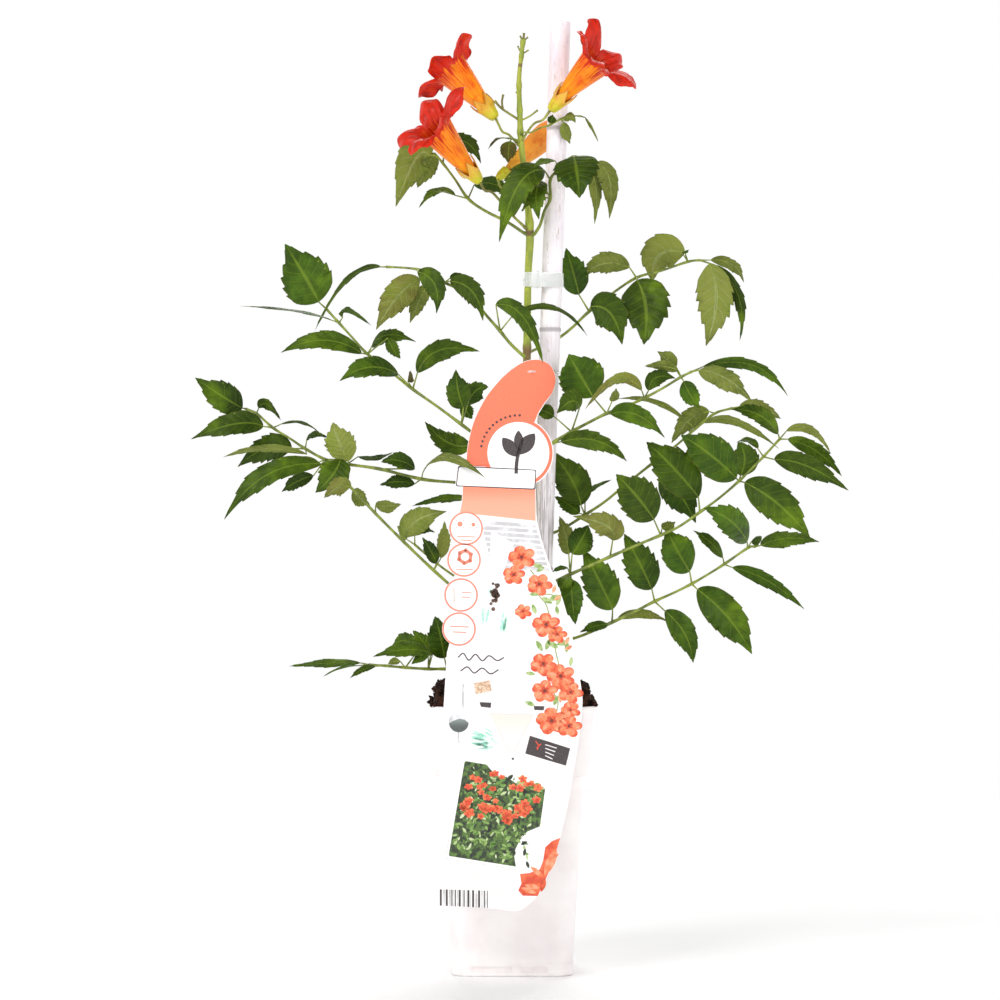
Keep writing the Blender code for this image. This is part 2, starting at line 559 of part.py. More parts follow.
def make_calyx(bloom, material):
    """A cup with five pointed teeth round the foot of the flower's tube."""
    count = 10
    shares = (0.0, 0.07, 0.22, CALYX_SHARE)
    outer_sizes = (0.30, 0.42, 0.52, 0.62)
    frames = axis_frames(bloom.axis, shares)
    rings = []
    angles = [2 * math.pi * k / count + math.radians(bloom.spin + 12) for k in range(count)]
    length = np.linalg.norm(seen(bloom.axis[-1]) - seen(bloom.axis[0]))
    for (point, ahead, first, near), size in zip(frames, outer_sizes):
        tooth = 0.13 * length if size == outer_sizes[-1] else 0.0
        ring = []
        for k, a in enumerate(angles):
            out = first * math.cos(a) + near * math.sin(a)
            rise = tooth * (0.5 if k % 2 == 0 else -0.7)
            flare = 0.9 if (tooth and k % 2 == 0) else 0.0
            ring.append(point + (bloom.mouth * size + flare) * out + ahead * rise)
        rings.append(ring)
    inner = []
    for (point, ahead, first, near), size, ring in zip(frames[1:], outer_sizes[1:], rings[1:]):
        wall = []
        for a, outside in zip(angles, ring):
            out = first * math.cos(a) + near * math.sin(a)
            wall.append(outside - out * 0.75)
        inner.append(wall)
    inner[0] = [p - frames[1][1] * 1.2 for p in inner[0]]
    return add_object("calyx_" + bloom.name, loft("calyx", rings + inner[::-1]), material, True)


BUD_AXIS = ((-10.5, -3, 591), (8, 9, 607), (24, 22, 622), (35, 27, 633))
BUD_PROFILE = ((0.14, 3.0), (0.3, 6.0), (0.52, 8.8), (0.72, 9.2), (0.88, 6.6), (0.98, 2.4))


def make_bud():
    """The flower that has not opened: a closed corolla in its own calyx."""
    frames = axis_frames(BUD_AXIS, [share for share, _ in BUD_PROFILE])
    rings = [[point + size * (first * math.cos(a) + near * math.sin(a))
              for a in (2 * math.pi * k / 10 for k in range(10))]
             for (point, _, first, near), (_, size) in zip(frames, BUD_PROFILE)]
    orange = finish("bud_orange", 0.5, (0.75, 0.22, 0.02))
    add_object("bud_right", loft("bud", rings), orange, True)
    shares = (0.0, 0.04, 0.115)
    sizes = (2.2, 3.6, 4.2)
    cups = [[point + size * (first * math.cos(a) + near * math.sin(a))
             for a in (2 * math.pi * k / 10 for k in range(10))]
            for (point, _, first, near), size in zip(axis_frames(BUD_AXIS, shares), sizes)]
    yellow = finish("bud_calyx_yellow", 0.5, (0.60, 0.50, 0.05))
    add_object("calyx_bud", loft("calyx_bud", cups), yellow, True)


STEM_ROUTE = ((-1, -13, 150), (0, -12, 205), (3.5, -10, 260), (8, -9, 330), (10, -9, 400), (11, -9, 457),
              (11.8, -9, 516), (13.3, -9, 549), (11.5, -9, 572), (8.9, -9, 597), (6.5, -9, 620),
              (5.9, -9, 636), (5.2, -9, 664), (7.0, -9, 682), (8.3, -9, 694))
STEM_SIZES = (2.8, 2.8, 2.7, 2.7, 2.7, 2.9, 2.6, 3.0, 2.4, 2.2, 2.2, 2.0, 1.7, 1.5, 1.7)
TWIGS = (
    (1.0, (11.5, -10, 553), (-1, -13, 565), (-14, -16, 580), (-20, -17, 582), (-23.2, -17, 587.2)),
    (0.9, (5.5, -9, 615), (-2, -10, 623), (-7, -10, 625.5), (-10, -10, 631), (-11.6, -9.6, 634.3)),
    (0.9, (7.5, -10, 619), (12.5, -13, 627), (17, -16, 632), (23, -18, 634.5), (27.4, -18.2, 640.2)),
    (0.9, (11.5, -9, 572), (2, -7, 577), (-8, -4, 584), (-10.6, -3.2, 589.5)),
    (0.9, (5.8, -9, 634), (-3, -10, 639.5), (-8.5, -11, 643.5), (-13, -12, 648.5)),
    (0.8, (-7, -11, 643), (-7.4, -11, 648), (-6.5, -11, 653)),
    (0.7, (6, -9, 633.5), (13, -8, 637), (19, -7, 641.5)),
    (0.6, (7, -9, 683), (10, -9, 684.5), (12.3, -9, 686)),
    (0.6, (7, -9, 683.5), (5.6, -9, 686), (4.2, -9, 689)),
    (0.7, (8.2, -9, 692), (11.8, -9, 695.5)),
    (0.7, (8.2, -9, 692), (6.0, -9, 696.5)),
    (0.9, (8.3, -9, 692.5), (8.9, -9, 698.5)),
    (0.6, (5.4, -9, 652), (2.8, -9.5, 655)),
)


def cane_at(z):
    """Centre of the cane at a height."""
    share = (z - CANE_FOOT[2]) / (CANE_TOP[2] - CANE_FOOT[2])
    return np.array([CANE_FOOT[0] + (CANE_TOP[0] - CANE_FOOT[0]) * share, 0.0, z])


def make_cane():
    """A straight bamboo cane with a low ring at each node."""
    heights = [CANE_FOOT[2], CANE_TOP[2]]
    for node in CANE_NODES:
        heights += [node - 4, node, node + 4]
    heights.sort()
    route = [cane_at(z) for z in heights]
    radii = [CANE_RADIUS + (0.5 if z in CANE_NODES else 0.0) for z in heights]
    white = finish("whitewashed_bamboo", 0.6, (0.80, 0.77, 0.80))
    return add_object("cane", tube_mesh("cane", route, radii, 12), white, True)


def make_stem(green):
    """The main stem with its flower stalks, side twigs and bud scars joined to it."""
    route = [seen(p) for p in STEM_ROUTE]
    base = tube_mesh("main_stem", route, STEM_SIZES, 6)
    twigs = []
    for k, (size, *points) in enumerate(TWIGS):
        run = [seen(p) for p in points]
        twigs.append(tube_mesh(f"twig_{k}", run, [size] * len(run), 4))
    return union("main_stem", base, twigs, green)


def rounded_square(half, corner, z, bump=0.0):
    """Points of a square with round corners, anticlockwise."""
    ring = []
    for quarter in range(4):
        middle = math.pi / 4 + quarter * math.pi / 2
        cx = (half - corner) * math.copysign(1, math.cos(middle))
        cy = (half - corner) * math.copysign(1, math.sin(middle))
        for step in range(POT_CORNER_STEPS + 1):
            a = quarter * math.pi / 2 + step * math.pi / 2 / POT_CORNER_STEPS
            ring.append(np.array([cx + corner * math.cos(a), cy + corner * math.sin(a), z + bump]))
    return ring


def make_pot():
    """A tapering square pot with a deep collar, a foot ledge and drain slots low in its walls."""
    outer = ((0.0, POT_BASE_HALF - 1.2), (1.2, POT_BASE_HALF), (POT_FOOT_LEDGE - 0.5, POT_BASE_HALF + 0.6),
             (POT_FOOT_LEDGE + 0.5, POT_BASE_HALF - 0.1), (POT_COLLAR_Z, POT_BODY_TOP_HALF),
             (POT_COLLAR_Z, POT_COLLAR_LOW_HALF - 0.8), (POT_COLLAR_Z + 1.2, POT_COLLAR_LOW_HALF),
             (POT_HEIGHT - 1.5, POT_RIM_HALF), (POT_HEIGHT, POT_RIM_HALF - 0.8))
    inner = ((POT_HEIGHT, POT_RIM_HALF - POT_WALL - 0.8), (POT_COLLAR_Z + 1.6, POT_COLLAR_LOW_HALF - POT_WALL),
             (POT_COLLAR_Z + 1.6, POT_BODY_TOP_HALF - POT_WALL), (POT_FLOOR, POT_BASE_HALF - POT_WALL))
    rings = [rounded_square(half, 13.0 + 3.0 * z / POT_HEIGHT, z) for z, half in outer + inner]
    white = finish("pot_plastic", 0.45, (0.90, 0.86, 0.85))
    pot = add_object("pot", loft("pot", rings), white)
    slots = bpy.data.collections.new("slots")
    for quarter in range(4):
        for centre, width in ((-15.0, 30.0), (15.5, 20.0)):
            bpy.ops.mesh.primitive_cube_add(size=1.0)
            cutter = bpy.context.object
            cutter.name = f"slot_cutter_{quarter}_{width:.0f}"
            turn = quarter * math.pi / 2
            away = POT_BASE_HALF
            x = centre * math.cos(turn) + away * math.sin(turn)
            y = centre * math.sin(turn) - away * math.cos(turn)
            cutter.location = Vector((x, y, POT_FLOOR + 0.4 + SLOT_HEIGHT / 2)) * MM
            cutter.rotation_euler = (0, 0, turn)
            cutter.scale = Vector((width, 12.0, SLOT_HEIGHT)) * MM
            cutter.hide_render = True
            cutter.display_type = "WIRE"
            slots.objects.link(cutter)
    cut = pot.modifiers.new("drain slots", "BOOLEAN")
    cut.operation = "DIFFERENCE"
    cut.operand_type = "COLLECTION"
    cut.collection = slots
    return pot


def soil_height(x, y):
    """Height of the soil: a rough mound that stands a little proud of the rim."""
    away = max(abs(x), abs(y)) / POT_RIM_HALF
    swell = 13.0 * (1.0 - away ** 5)
    rough = 3.4 * noise.noise(Vector((x * 0.07, y * 0.07, 3.0)))
    crumbs = 2.2 * noise.noise(Vector((x * 0.21, y * 0.21, 9.0)))
    return SOIL_EDGE_Z + swell + rough + crumbs


def make_soil():
    """A block of potting soil that fills the pot, with plain holes for the cane and the stem."""
    low_half = POT_BASE_HALF - POT_WALL - SOIL_GAP
    step_half = POT_BODY_TOP_HALF - POT_WALL - SOIL_GAP
    collar_half = POT_COLLAR_LOW_HALF - POT_WALL - SOIL_GAP
    rim_half = POT_RIM_HALF - POT_WALL - 0.8 - SOIL_GAP
    rings = [rounded_square(low_half, 12, POT_FLOOR + SOIL_GAP),
             rounded_square(step_half - 0.6, 14, POT_COLLAR_Z + 1.0),
             rounded_square(step_half - 0.6, 14, POT_COLLAR_Z + 2.4),
             rounded_square(collar_half - 0.4, 14, POT_COLLAR_Z + 2.4),
             rounded_square(rim_half - 0.6, 15, POT_HEIGHT - 2.0)]
    for share in (0.96, 0.82, 0.64, 0.44, 0.22):
        ring = rounded_square(rim_half * share, 15 * share, 0.0)
        rings.append([np.array([p[0], p[1], soil_height(p[0], p[1])]) for p in ring])
    brown = finish("potting_soil", 0.95, (0.035, 0.02, 0.012))
    soil = add_object("soil", loft("soil", rings), brown)
    holes = bpy.data.collections.new("holes")
    cane_route = [cane_at(20.0), cane_at(260.0)]
    stem_route = [seen((-1.2, -13.2, 138)), seen(STEM_ROUTE[0]), seen(STEM_ROUTE[1]), seen((1.8, -11, 235))]
    for name, route, radius in (("cane_hole", cane_route, CANE_RADIUS + HOLE_GAP),
                                ("stem_hole", stem_route, STEM_SIZES[0] + HOLE_GAP)):
        cutter = bpy.data.objects.new(name, tube_mesh(name, route, [radius] * len(route), 16))
        cutter.hide_render = True
        cutter.display_type = "WIRE"
        holes.objects.link(cutter)
        bpy.context.scene.collection.objects.link(cutter)
    cut = soil.modifiers.new("holes", "BOOLEAN")
    cut.operation = "DIFFERENCE"
    cut.operand_type = "COLLECTION"
    cut.collection = holes
    return soil


def hull_ring(circles, grow, z, count=24):
    """Outline that wraps round upright circles (x, y, radius), grown outwards."""
    ring = []
    for k in range(count):
        a = 2 * math.pi * k / count
        out = np.array([math.cos(a), math.sin(a)])
        x, y, radius = max(circles, key=lambda c: out[0] * c[0] + out[1] * c[1] + c[2])
        ring.append(np.array([x + (radius + grow) * out[0], y + (radius + grow) * out[1], z]))
    return ring


def make_band(name, circles, low, high, thickness, material):
    """A flat strap closed round the circles."""
    rings = [hull_ring(circles, 0.0, low), hull_ring(circles, thickness, low),
             hull_ring(circles, thickness, high), hull_ring(circles, 0.0, high)]
    count = len(rings[0])
    verts = [p for ring in rings for p in ring]
    faces = []
    for row in range(4):
        for k in range(count):
            a = row * count + k
            b = row * count + (k + 1) % count
            nxt = ((row + 1) % 4 - row) * count
            faces.append((a, b, b + nxt, a + nxt))
    return add_object(name, mesh_of(name, verts, faces), material, True)


def card_y(z):
    """Depth of the card's front face, which leans from the stem's front to the pot's rim."""
    slope = (CARD_RIM_Y - CARD_TOP_Y) / (CARD_TOP_Z - POT_HEIGHT)
    return CARD_TOP_Y + (CARD_TOP_Z - z) * slope


def on_card(x, z):
    """The place on the card's front face that is seen at (x, z)."""
    eye = VIEWER
    ray = np.array([x - eye[0], -eye[1], z - SEEN_ZERO - eye[2]])
    slope = (CARD_RIM_Y - CARD_TOP_Y) / (CARD_TOP_Z - POT_HEIGHT)
    # y = eye_y + t * ray_y and y = card_y(eye_z + t * ray_z), solved for t
    t = (CARD_TOP_Y + (CARD_TOP_Z - eye[2]) * slope - eye[1]) / (ray[1] + ray[2] * slope)
    return eye + t * ray


def arc(cx, cz, radius, start, end, steps):
    return [(cx + radius * math.cos(math.radians(start + (end - start) * k / steps)),
             cz + radius * math.sin(math.radians(start + (end - start) * k / steps)))
            for k in range(steps + 1)]


CARD_HOLE = (14.9, 447.4, 5.6, 2.9)


def card_outline():
    """The card's edge, anticlockwise from the hook's point at the top right."""
    edge = [(32.3, 441.0), (31.2, 448.0), (27.5, 453.6), (20.0, 457.0), (11.0, 456.2), (3.0, 452.2),
            (-5.0, 446.0), (-12.0, 438.6), (-18.8, 430.0), (-24.5, 420.0), (-29.0, 409.5), (-32.0, 398.0),
            (-33.6, 387.0), (-34.0, 377.6), (-40.9, 377.2), (-42.0, 363.4), (-36.3, 363.0), (-38.0, 344.4)]
    edge += arc(-34.0, 332.0, 12.6, 108, 236, 5)
    edge += arc(-35.5, 308.6, 12.6, 130, 238, 5)
    edge += arc(-37.7, 282.7, 12.6, 126, 236, 5)
    edge += arc(-39.2, 257.5, 12.6, 128, 236, 5)
    edge += [(-48.2, 240.0), (-50.4, 204.0), (-58.7, 53.0), (-10.0, 50.2), (3.8, 48.8), (12.0, 53.5),
             (18.5, 60.0), (24.4, 71.8), (30.5, 86.0), (35.5, 103.0), (41.0, 126.0), (44.4, 146.0),
             (48.8, 172.0), (51.9, 199.0), (51.4, 213.0), (45.1, 249.4), (37.7, 279.0), (26.6, 308.6),
             (18.5, 338.0), (17.4, 362.6), (17.8, 365.6)]
    edge += arc(4.7, 387.8, 26.0, -56, 62, 9)
    edge += [(19.8, 417.0), (24.6, 424.8), (30.0, 432.6)]
    return edge


def make_card():
    """The label: a thin flat card cut to its outline, with an oval hole for the tie."""
    edge = card_outline()
    depth = np.array([0.0, CARD_THICKNESS, 0.0])
    front = [on_card(x, z) for x, z in edge]
    back = [p + depth for p in front]
    count = len(edge)
    faces = [tuple(range(count)), tuple(range(2 * count - 1, count - 1, -1))]
    faces += [(k, (k + 1) % count, (k + 1) % count + count, k + count) for k in range(count)]
    coral = finish("printed_card", 0.4, (0.95, 0.60, 0.50))
    card = add_object("label_card", mesh_of("label_card", front + back, faces), coral)
    cx, cz, rx, rz = CARD_HOLE
    rings = []
    for y in (-6.0, 6.0):
        rings.append([on_card(cx + rx * math.cos(a), cz + rz * math.sin(a)) + np.array([0.0, y, 0.0])
                      for a in (2 * math.pi * k / 16 for k in range(16))])
    cutter = bpy.data.objects.new("card_hole", loft("card_hole", rings))
    cutter.hide_render = True
    cutter.display_type = "WIRE"
    bpy.context.scene.collection.objects.link(cutter)
    cut = card.modifiers.new("hole", "BOOLEAN")
    cut.operation = "DIFFERENCE"
    cut.object = cutter
    return card


def main():
    for thing in list(bpy.data.objects):
        bpy.data.objects.remove(thing)
    leaf_green = finish("leaf_green", 0.45, (0.06, 0.13, 0.02))
    stem_green = finish("stem_green", 0.5, (0.28, 0.34, 0.04))
    petal = finish("petal_red", 0.5, (0.75, 0.06, 0.02))
    calyx = finish("calyx_yellow_green", 0.5, (0.55, 0.40, 0.06))
    clear = finish("clear_plastic", 0.3, (0.85, 0.85, 0.85))
    make_pot()
    make_soil()
    make_cane()
    make_stem(stem_green)
    for bloom in BLOOMS:
        make_corolla(bloom, petal)
        make_calyx(bloom, calyx)
    make_bud()
    for frond in FRONDS:
        make_frond(frond, leaf_green)
    cane = cane_at(509.0)
    stem = seen((11.8, STEM_DEPTH, 515.5))
    make_band("stem_clip", ((stem[0], stem[1], 3.1), (cane[0], cane[1], CANE_RADIUS + 0.6)),
              503.5, 514.5, 0.8, clear)
    cane = cane_at(440.9)
    stem = seen((10.9, STEM_DEPTH, 447.4))
    front = on_card(CARD_HOLE[0], CARD_HOLE[1])
    make_band("label_tie", ((stem[0], stem[1], 3.3), (cane[0], cane[1], CANE_RADIUS + 0.6),
                            (front[0] - 1.0, front[1] - 0.3, 0.9)), 440.0, 441.8, 0.8, clear)
    make_card()


if __name__ == "__main__":
    main()
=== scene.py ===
"""Trumpet vine in a tall white nursery pot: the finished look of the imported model.

Lengths are in millimetres until a mesh is made. A place is written (x, y, z) as it is seen:
x to the right, y away from the viewer, z up from the pot's underside, with x and z read on the
plane y = 0. seen() moves a place along the line of sight to its own depth.
"""
import json
import logging
import math
from dataclasses import dataclass
from enum import Enum
from functools import partial
from typing import Any, Optional, Sequence

import bpy
import numpy as np
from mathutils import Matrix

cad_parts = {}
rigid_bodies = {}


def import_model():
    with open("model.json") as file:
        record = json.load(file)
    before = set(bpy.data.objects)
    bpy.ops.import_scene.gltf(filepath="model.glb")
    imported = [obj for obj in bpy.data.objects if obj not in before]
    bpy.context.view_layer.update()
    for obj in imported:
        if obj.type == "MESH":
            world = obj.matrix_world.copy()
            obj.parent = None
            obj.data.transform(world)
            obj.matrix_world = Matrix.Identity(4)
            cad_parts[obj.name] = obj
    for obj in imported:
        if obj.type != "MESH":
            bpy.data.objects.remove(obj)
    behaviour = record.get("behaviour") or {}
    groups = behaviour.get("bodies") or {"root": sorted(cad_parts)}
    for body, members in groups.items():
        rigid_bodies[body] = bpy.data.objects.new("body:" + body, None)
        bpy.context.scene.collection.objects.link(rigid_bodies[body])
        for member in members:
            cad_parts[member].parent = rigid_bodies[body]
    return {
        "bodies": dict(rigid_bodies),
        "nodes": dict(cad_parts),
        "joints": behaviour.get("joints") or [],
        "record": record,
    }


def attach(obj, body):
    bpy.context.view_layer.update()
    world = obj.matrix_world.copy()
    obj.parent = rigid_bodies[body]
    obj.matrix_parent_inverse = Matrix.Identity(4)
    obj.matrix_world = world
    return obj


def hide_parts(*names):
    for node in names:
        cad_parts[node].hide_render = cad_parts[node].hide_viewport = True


Array = np.ndarray
Place = tuple[float, float, float]
Pairs = tuple[tuple[float, float], ...]
Places = Sequence[Sequence[float]]
Material = bpy.types.Material
Thing = bpy.types.Object
log = logging.getLogger("vine")

MM = 0.001
VIEWER = np.array([-8.9, -2500.0, 346.5])
# measured heights count from a line this far below the pot's underside
SEEN_ZERO = 6.5
# width of the picture on the plane y = 0
IMAGE_WIDTH_MM = 740.0
SENSOR_MM = 36.0
# heights of the rings on the cane
CANE_NODES = (295.5, 472.5, 621.5)
WHITE = (1.0, 1.0, 1.0)


def seen(place: Sequence[float]) -> Array:
    """Move a place seen at (x, z) on the plane y = 0 to its own depth y along the viewer's ray.

    Args:
        place: (x, y, z) in millimetres, x and z as seen.

    Returns:
        The true place: eye + (seen - eye) * (1 + y / distance), with y as given.
    """
    p = np.asarray(place, float) - [0.0, 0.0, SEEN_ZERO]
    reach = 1.0 - p[..., 1:2] / VIEWER[1]
    out = VIEWER + (p - VIEWER) * reach
    out[..., 1] = p[..., 1]
    return out


def unit(v: Array) -> Array:
    """Vectors divided by their lengths, along the last axis."""
    return v / np.linalg.norm(v, axis=-1, keepdims=True)


def smooth(low: float, high: float, x: Array) -> Array:
    """Smooth step from 0 at low to 1 at high: t * t * (3 - 2 t)."""
    t = np.clip((np.asarray(x, float) - low) / (high - low), 0.0, 1.0)
    return t * t * (3.0 - 2.0 * t)


def catmull(points: Places, steps: int) -> Array:
    """Catmull-Rom curve through the points.

    Args:
        points: places that the curve passes through.
        steps: samples in each span.

    Returns:
        The samples, (2b + (c-a)t + (2a-5b+4c-d)t^2 + (3b-a-3c+d)t^3) / 2 on each span b..c.
    """
    pts = np.asarray(points, float)
    pts = np.vstack([2 * pts[0] - pts[1], pts, 2 * pts[-1] - pts[-2]])
    a, b, c, d = pts[:-3, None], pts[1:-2, None], pts[2:-1, None], pts[3:, None]
    t = (np.arange(steps) / steps)[None, :, None]
    bend, twist = 2 * a - 5 * b + 4 * c - d, 3 * b - a - 3 * c + d
    curve = (2 * b + (c - a) * t + bend * t**2 + twist * t**3) / 2
    return np.vstack([curve.reshape(-1, pts.shape[1]), pts[-2:-1]])


def along_route(route: Array, place: Array) -> Array:
    """Points of a route at fractional point numbers."""
    return np.stack([np.interp(place, np.arange(len(route)), column) for column in route.T], -1)


def carried_frames(path: Array) -> tuple[Array, Array, Array]:
    """Headings of a path and two cross directions carried along it without twist.

    Args:
        path: (n, 3) points.

    Returns:
        ahead, across, up: unit vectors at each point.
    """
    ahead = unit(np.gradient(path, axis=0))
    across = np.empty_like(path)
    last = np.array([0.0, -1.0, 0.0]) if abs(ahead[0, 1]) < 0.9 else np.array([1.0, 0.0, 0.0])
    for k, heading in enumerate(ahead):
        last = unit(last - heading * np.dot(last, heading))
        across[k] = last
    return ahead, across, np.cross(ahead, across)


def tube_rings(path: Array, radii: Array, sides: int, oval: float = 1.0) -> Array:
    """Rings of a tube: path + r (across cos t + up sin t * oval).

    Args:
        path: (n, 3) centre line.
        radii: radius at each point.
        sides: points in a ring.
        oval: ratio of the ring's second half-width to its first.

    Returns:
        (n, sides, 3) points.
    """
    _, across, up = carried_frames(path)
    t = np.linspace(0.0, 2 * np.pi, sides, endpoint=False)
    ring = across[:, None] * np.cos(t)[None, :, None] + up[:, None] * (oval * np.sin(t))[None, :, None]
    return path[:, None] + ring * np.asarray(radii, float)[:, None, None]


def grid_uv(across: Array, down: Array) -> Array:
    """Pattern coordinates of a grid: its own value for each column, then for each row."""
    return np.stack(np.broadcast_arrays(across[None, :], down[:, None]), -1)


def ring_quads(rows: int, count: int, closed: bool = False) -> Array:
    """Corner numbers of the quads between rings of count points.

    Args:
        rows: number of rings.
        count: points in each ring.
        closed: whether the last ring joins the first.

    Returns:
        (quads, 4) numbers.
    """
    k = np.arange(count)
    row = (np.arange(rows if closed else rows - 1) * count)[:, None]
    after = (row + count) % (rows * count)
    ahead = (k + 1) % count
    return np.stack([row + k, row + ahead, after + ahead, after + k], -1).reshape(-1, 4)


def ripple(p: Array, size: float, seed: int) -> Array:
    """Smooth pseudo-random height in -1..1 at points p, with bumps about size mm across.

    It is a mean of seven sine waves of fixed random headings, each sin(k . p + phase).
    """
    draw = np.random.default_rng(seed)
    heading = unit(draw.normal(size=(7, 3))) * 2 * np.pi / size * draw.uniform(0.6, 1.7, (7, 1))
    phase = draw.uniform(0, 2 * np.pi, 7)
    return np.sin(np.tensordot(p, heading, axes=([-1], [1])) + phase).mean(axis=-1) * 1.9


class Skin:
    """Gathers lofted patches into one mesh, with a UV map, a tint and a facing for each."""

    def __init__(self, name: str) -> None:
        """Start an empty skin called name."""
        self.name = name
        self.verts: list[Array] = []
        self.faces: list[list[int]] = []
        self.uvs: list[Array] = []
        self.tints: list[Array] = []
        self.under: list[Array] = []
        self.slots: list[Array] = []
        self.count = 0

    def patch(self, verts: Array, faces: list[list[int]], uv: Optional[Array] = None, tint: Any = WHITE,
              under: Optional[Array] = None, slot: int = 0) -> None:
        """Add points and faces.

        Args:
            verts: (n, 3) points in millimetres.
            faces: lists of point numbers.
            uv: (n, 2) pattern coordinates, or none.
            tint: linear colour that a leaf or petal takes.
            under: 1 for each face on a blade's under side or a flower's inside.
            slot: number of the material.
        """
        verts = verts.reshape(-1, 3)
        start = self.count
        self.verts.append(verts)
        self.faces.extend([[start + k for k in face] for face in faces])
        self.uvs.append(np.zeros((len(verts), 2)) if uv is None else uv.reshape(-1, 2))
        self.tints.append(np.tile(np.append(tint, 1.0), (len(verts), 1)))
        self.under.append(np.zeros(len(faces)) if under is None else under)
        self.slots.append(np.full(len(faces), slot))
        self.count += len(verts)

    def loft(self, rings: Array, uv: Optional[Array] = None, tint: Any = WHITE,
             under: Optional[Array] = None, slot: int = 0) -> None:
        """Skin rings of equal length into a closed body, with a face over each end.

        Args:
            rings: (rows, count, 3) points.
            uv: (rows, count, 2) pattern coordinates.
            tint: linear colour.
            under: (rows - 1, count) facing of each quad.
            slot: number of the material.
        """
        rows, count = rings.shape[:2]
        k = np.arange(count)
        quads = ring_quads(rows, count)
        centre = rings.reshape(-1, 3).mean(axis=0)
        p = rings.reshape(-1, 3)[quads] - centre
        volume = np.einsum("ij,ij->", p[:, 0], np.cross(p[:, 1], p[:, 2]) + np.cross(p[:, 2], p[:, 3]))
        first, last = k[::-1], k + (rows - 1) * count
        if volume < 0:
            quads, first, last = quads[:, ::-1], first[::-1], last[::-1]
        faces = quads.tolist() + [first.tolist(), last.tolist()]
        flags = None if under is None else np.append(under.reshape(-1), [0.0, 0.0])
        self.patch(rings, faces, uv, tint, flags, slot)

    def tube(self, path: Array, radii: Any, sides: int = 8, slot: int = 0) -> None:
        """Add a round tube along a path; its UV is (turn, length in mm / 10)."""
        radii = np.broadcast_to(np.asarray(radii, float), (len(path),))
        rings = tube_rings(path, radii, sides)
        run = np.concatenate([[0.0], np.cumsum(np.linalg.norm(np.diff(path, axis=0), axis=1))]) / 10.0
        turn = np.arange(sides) / sides
        self.loft(rings, grid_uv(turn, run), slot=slot)

    def build(self, materials: Sequence[Material], crease: float = 180.0) -> Thing:
        """Make the object, its place in its mesh, in metres.

        Args:
            materials: one for each slot number.
            crease: edges that turn more than this many degrees stay sharp.

        Returns:
            The new object.
        """
        mesh = bpy.data.meshes.new(self.name)
        mesh.from_pydata((np.vstack(self.verts) * MM).tolist(), [], self.faces)
        for material in materials:
            mesh.materials.append(material)
        mesh.polygons.foreach_set("material_index", np.concatenate(self.slots).astype(np.int32))
        corner = np.empty(len(mesh.loops), np.int32)
        mesh.loops.foreach_get("vertex_index", corner)
        layer = mesh.uv_layers.new(name="UVMap")
        layer.uv.foreach_set("vector", np.vstack(self.uvs)[corner].astype(np.float32).ravel())
        tint = mesh.attributes.new("tint", "FLOAT_COLOR", "POINT")
        tint.data.foreach_set("color", np.vstack(self.tints).astype(np.float32).ravel())
        under = mesh.attributes.new("under", "FLOAT", "FACE")
        under.data.foreach_set("value", np.concatenate(self.under).astype(np.float32))
        mesh.shade_smooth()
        if crease < 180.0:
            mesh.set_sharp_from_angle(angle=math.radians(crease))
        mesh.validate()
        thing = bpy.data.objects.new(self.name, mesh)
        bpy.context.scene.collection.objects.link(thing)
        return thing


def carve(body: Thing, cutters: Sequence[Thing], crease: float) -> Thing:
    """Cut solids out of a piece and remove them.

    Args:
        body: the piece.
        cutters: the solids to cut out.
        crease: edges that turn more than this many degrees stay sharp.

    Returns:
        The piece.
    """
    group = bpy.data.collections.new("cutters")
    for cutter in cutters:
        group.objects.link(cutter)
    cut = body.modifiers.new("cut", "BOOLEAN")
    cut.operation, cut.operand_type, cut.collection = "DIFFERENCE", "COLLECTION", group
    cut.solver = "MANIFOLD"
    mesh = bpy.data.meshes.new_from_object(body.evaluated_get(bpy.context.evaluated_depsgraph_get()))
    body.modifiers.remove(cut)
    body.data = mesh
    for cutter in cutters:
        bpy.data.objects.remove(cutter)
    bpy.data.collections.remove(group)
    mesh.set_sharp_from_angle(angle=math.radians(crease))
    return body


def dress(thing: Thing, slot: str, *nodes: str) -> Thing:
    """Ride a finished piece on the plant, hide the CAD nodes that it stands for, and log it."""
    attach(thing, "root")
    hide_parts(*nodes)
    log.info("%s: %d faces", thing.name, len(thing.data.polygons))
    return thing


def srgb(code: str) -> tuple[float, float, float]:
    """Linear colour from a hex code: ((c + 0.055) / 1.055) ^ 2.4, or c / 12.92 when dark."""
    values = [int(code[k:k + 2], 16) / 255.0 for k in (1, 3, 5)]
    return tuple(c / 12.92 if c <= 0.04045 else ((c + 0.055) / 1.055) ** 2.4 for c in values)


def rgba(code: str) -> tuple[float, float, float, float]:
    """Linear colour with full alpha from a hex code."""
    return (*srgb(code), 1.0)


BLEND = {"data_type": "RGBA"}
SOFT = {"interpolation_type": "SMOOTHSTEP"}
TIMES = {"operation": "MULTIPLY"}
PLUS = {"operation": "ADD"}
MINUS = {"operation": "SUBTRACT"}
SIZE = {"operation": "ABSOLUTE"}


def wire(node: bpy.types.Node, inputs: Any) -> None:
    """Set or link a node's sockets.

    Args:
        node: the node.
        inputs: values for the sockets in order, or a dict of their names or numbers to values. A value may
            be a node, whose result is linked, or a socket, or a colour's hex code.
    """
    pairs = inputs if isinstance(inputs, dict) else dict(enumerate(inputs))
    for key, value in pairs.items():
        if isinstance(value, bpy.types.Node):
            value = value.outputs[2 if value.bl_idname == "ShaderNodeMix" else 0]
        if isinstance(value, bpy.types.NodeSocket):
            node.id_data.links.new(value, node.inputs[key])
        else:
            node.inputs[key].default_value = rgba(value) if isinstance(value, str) else value


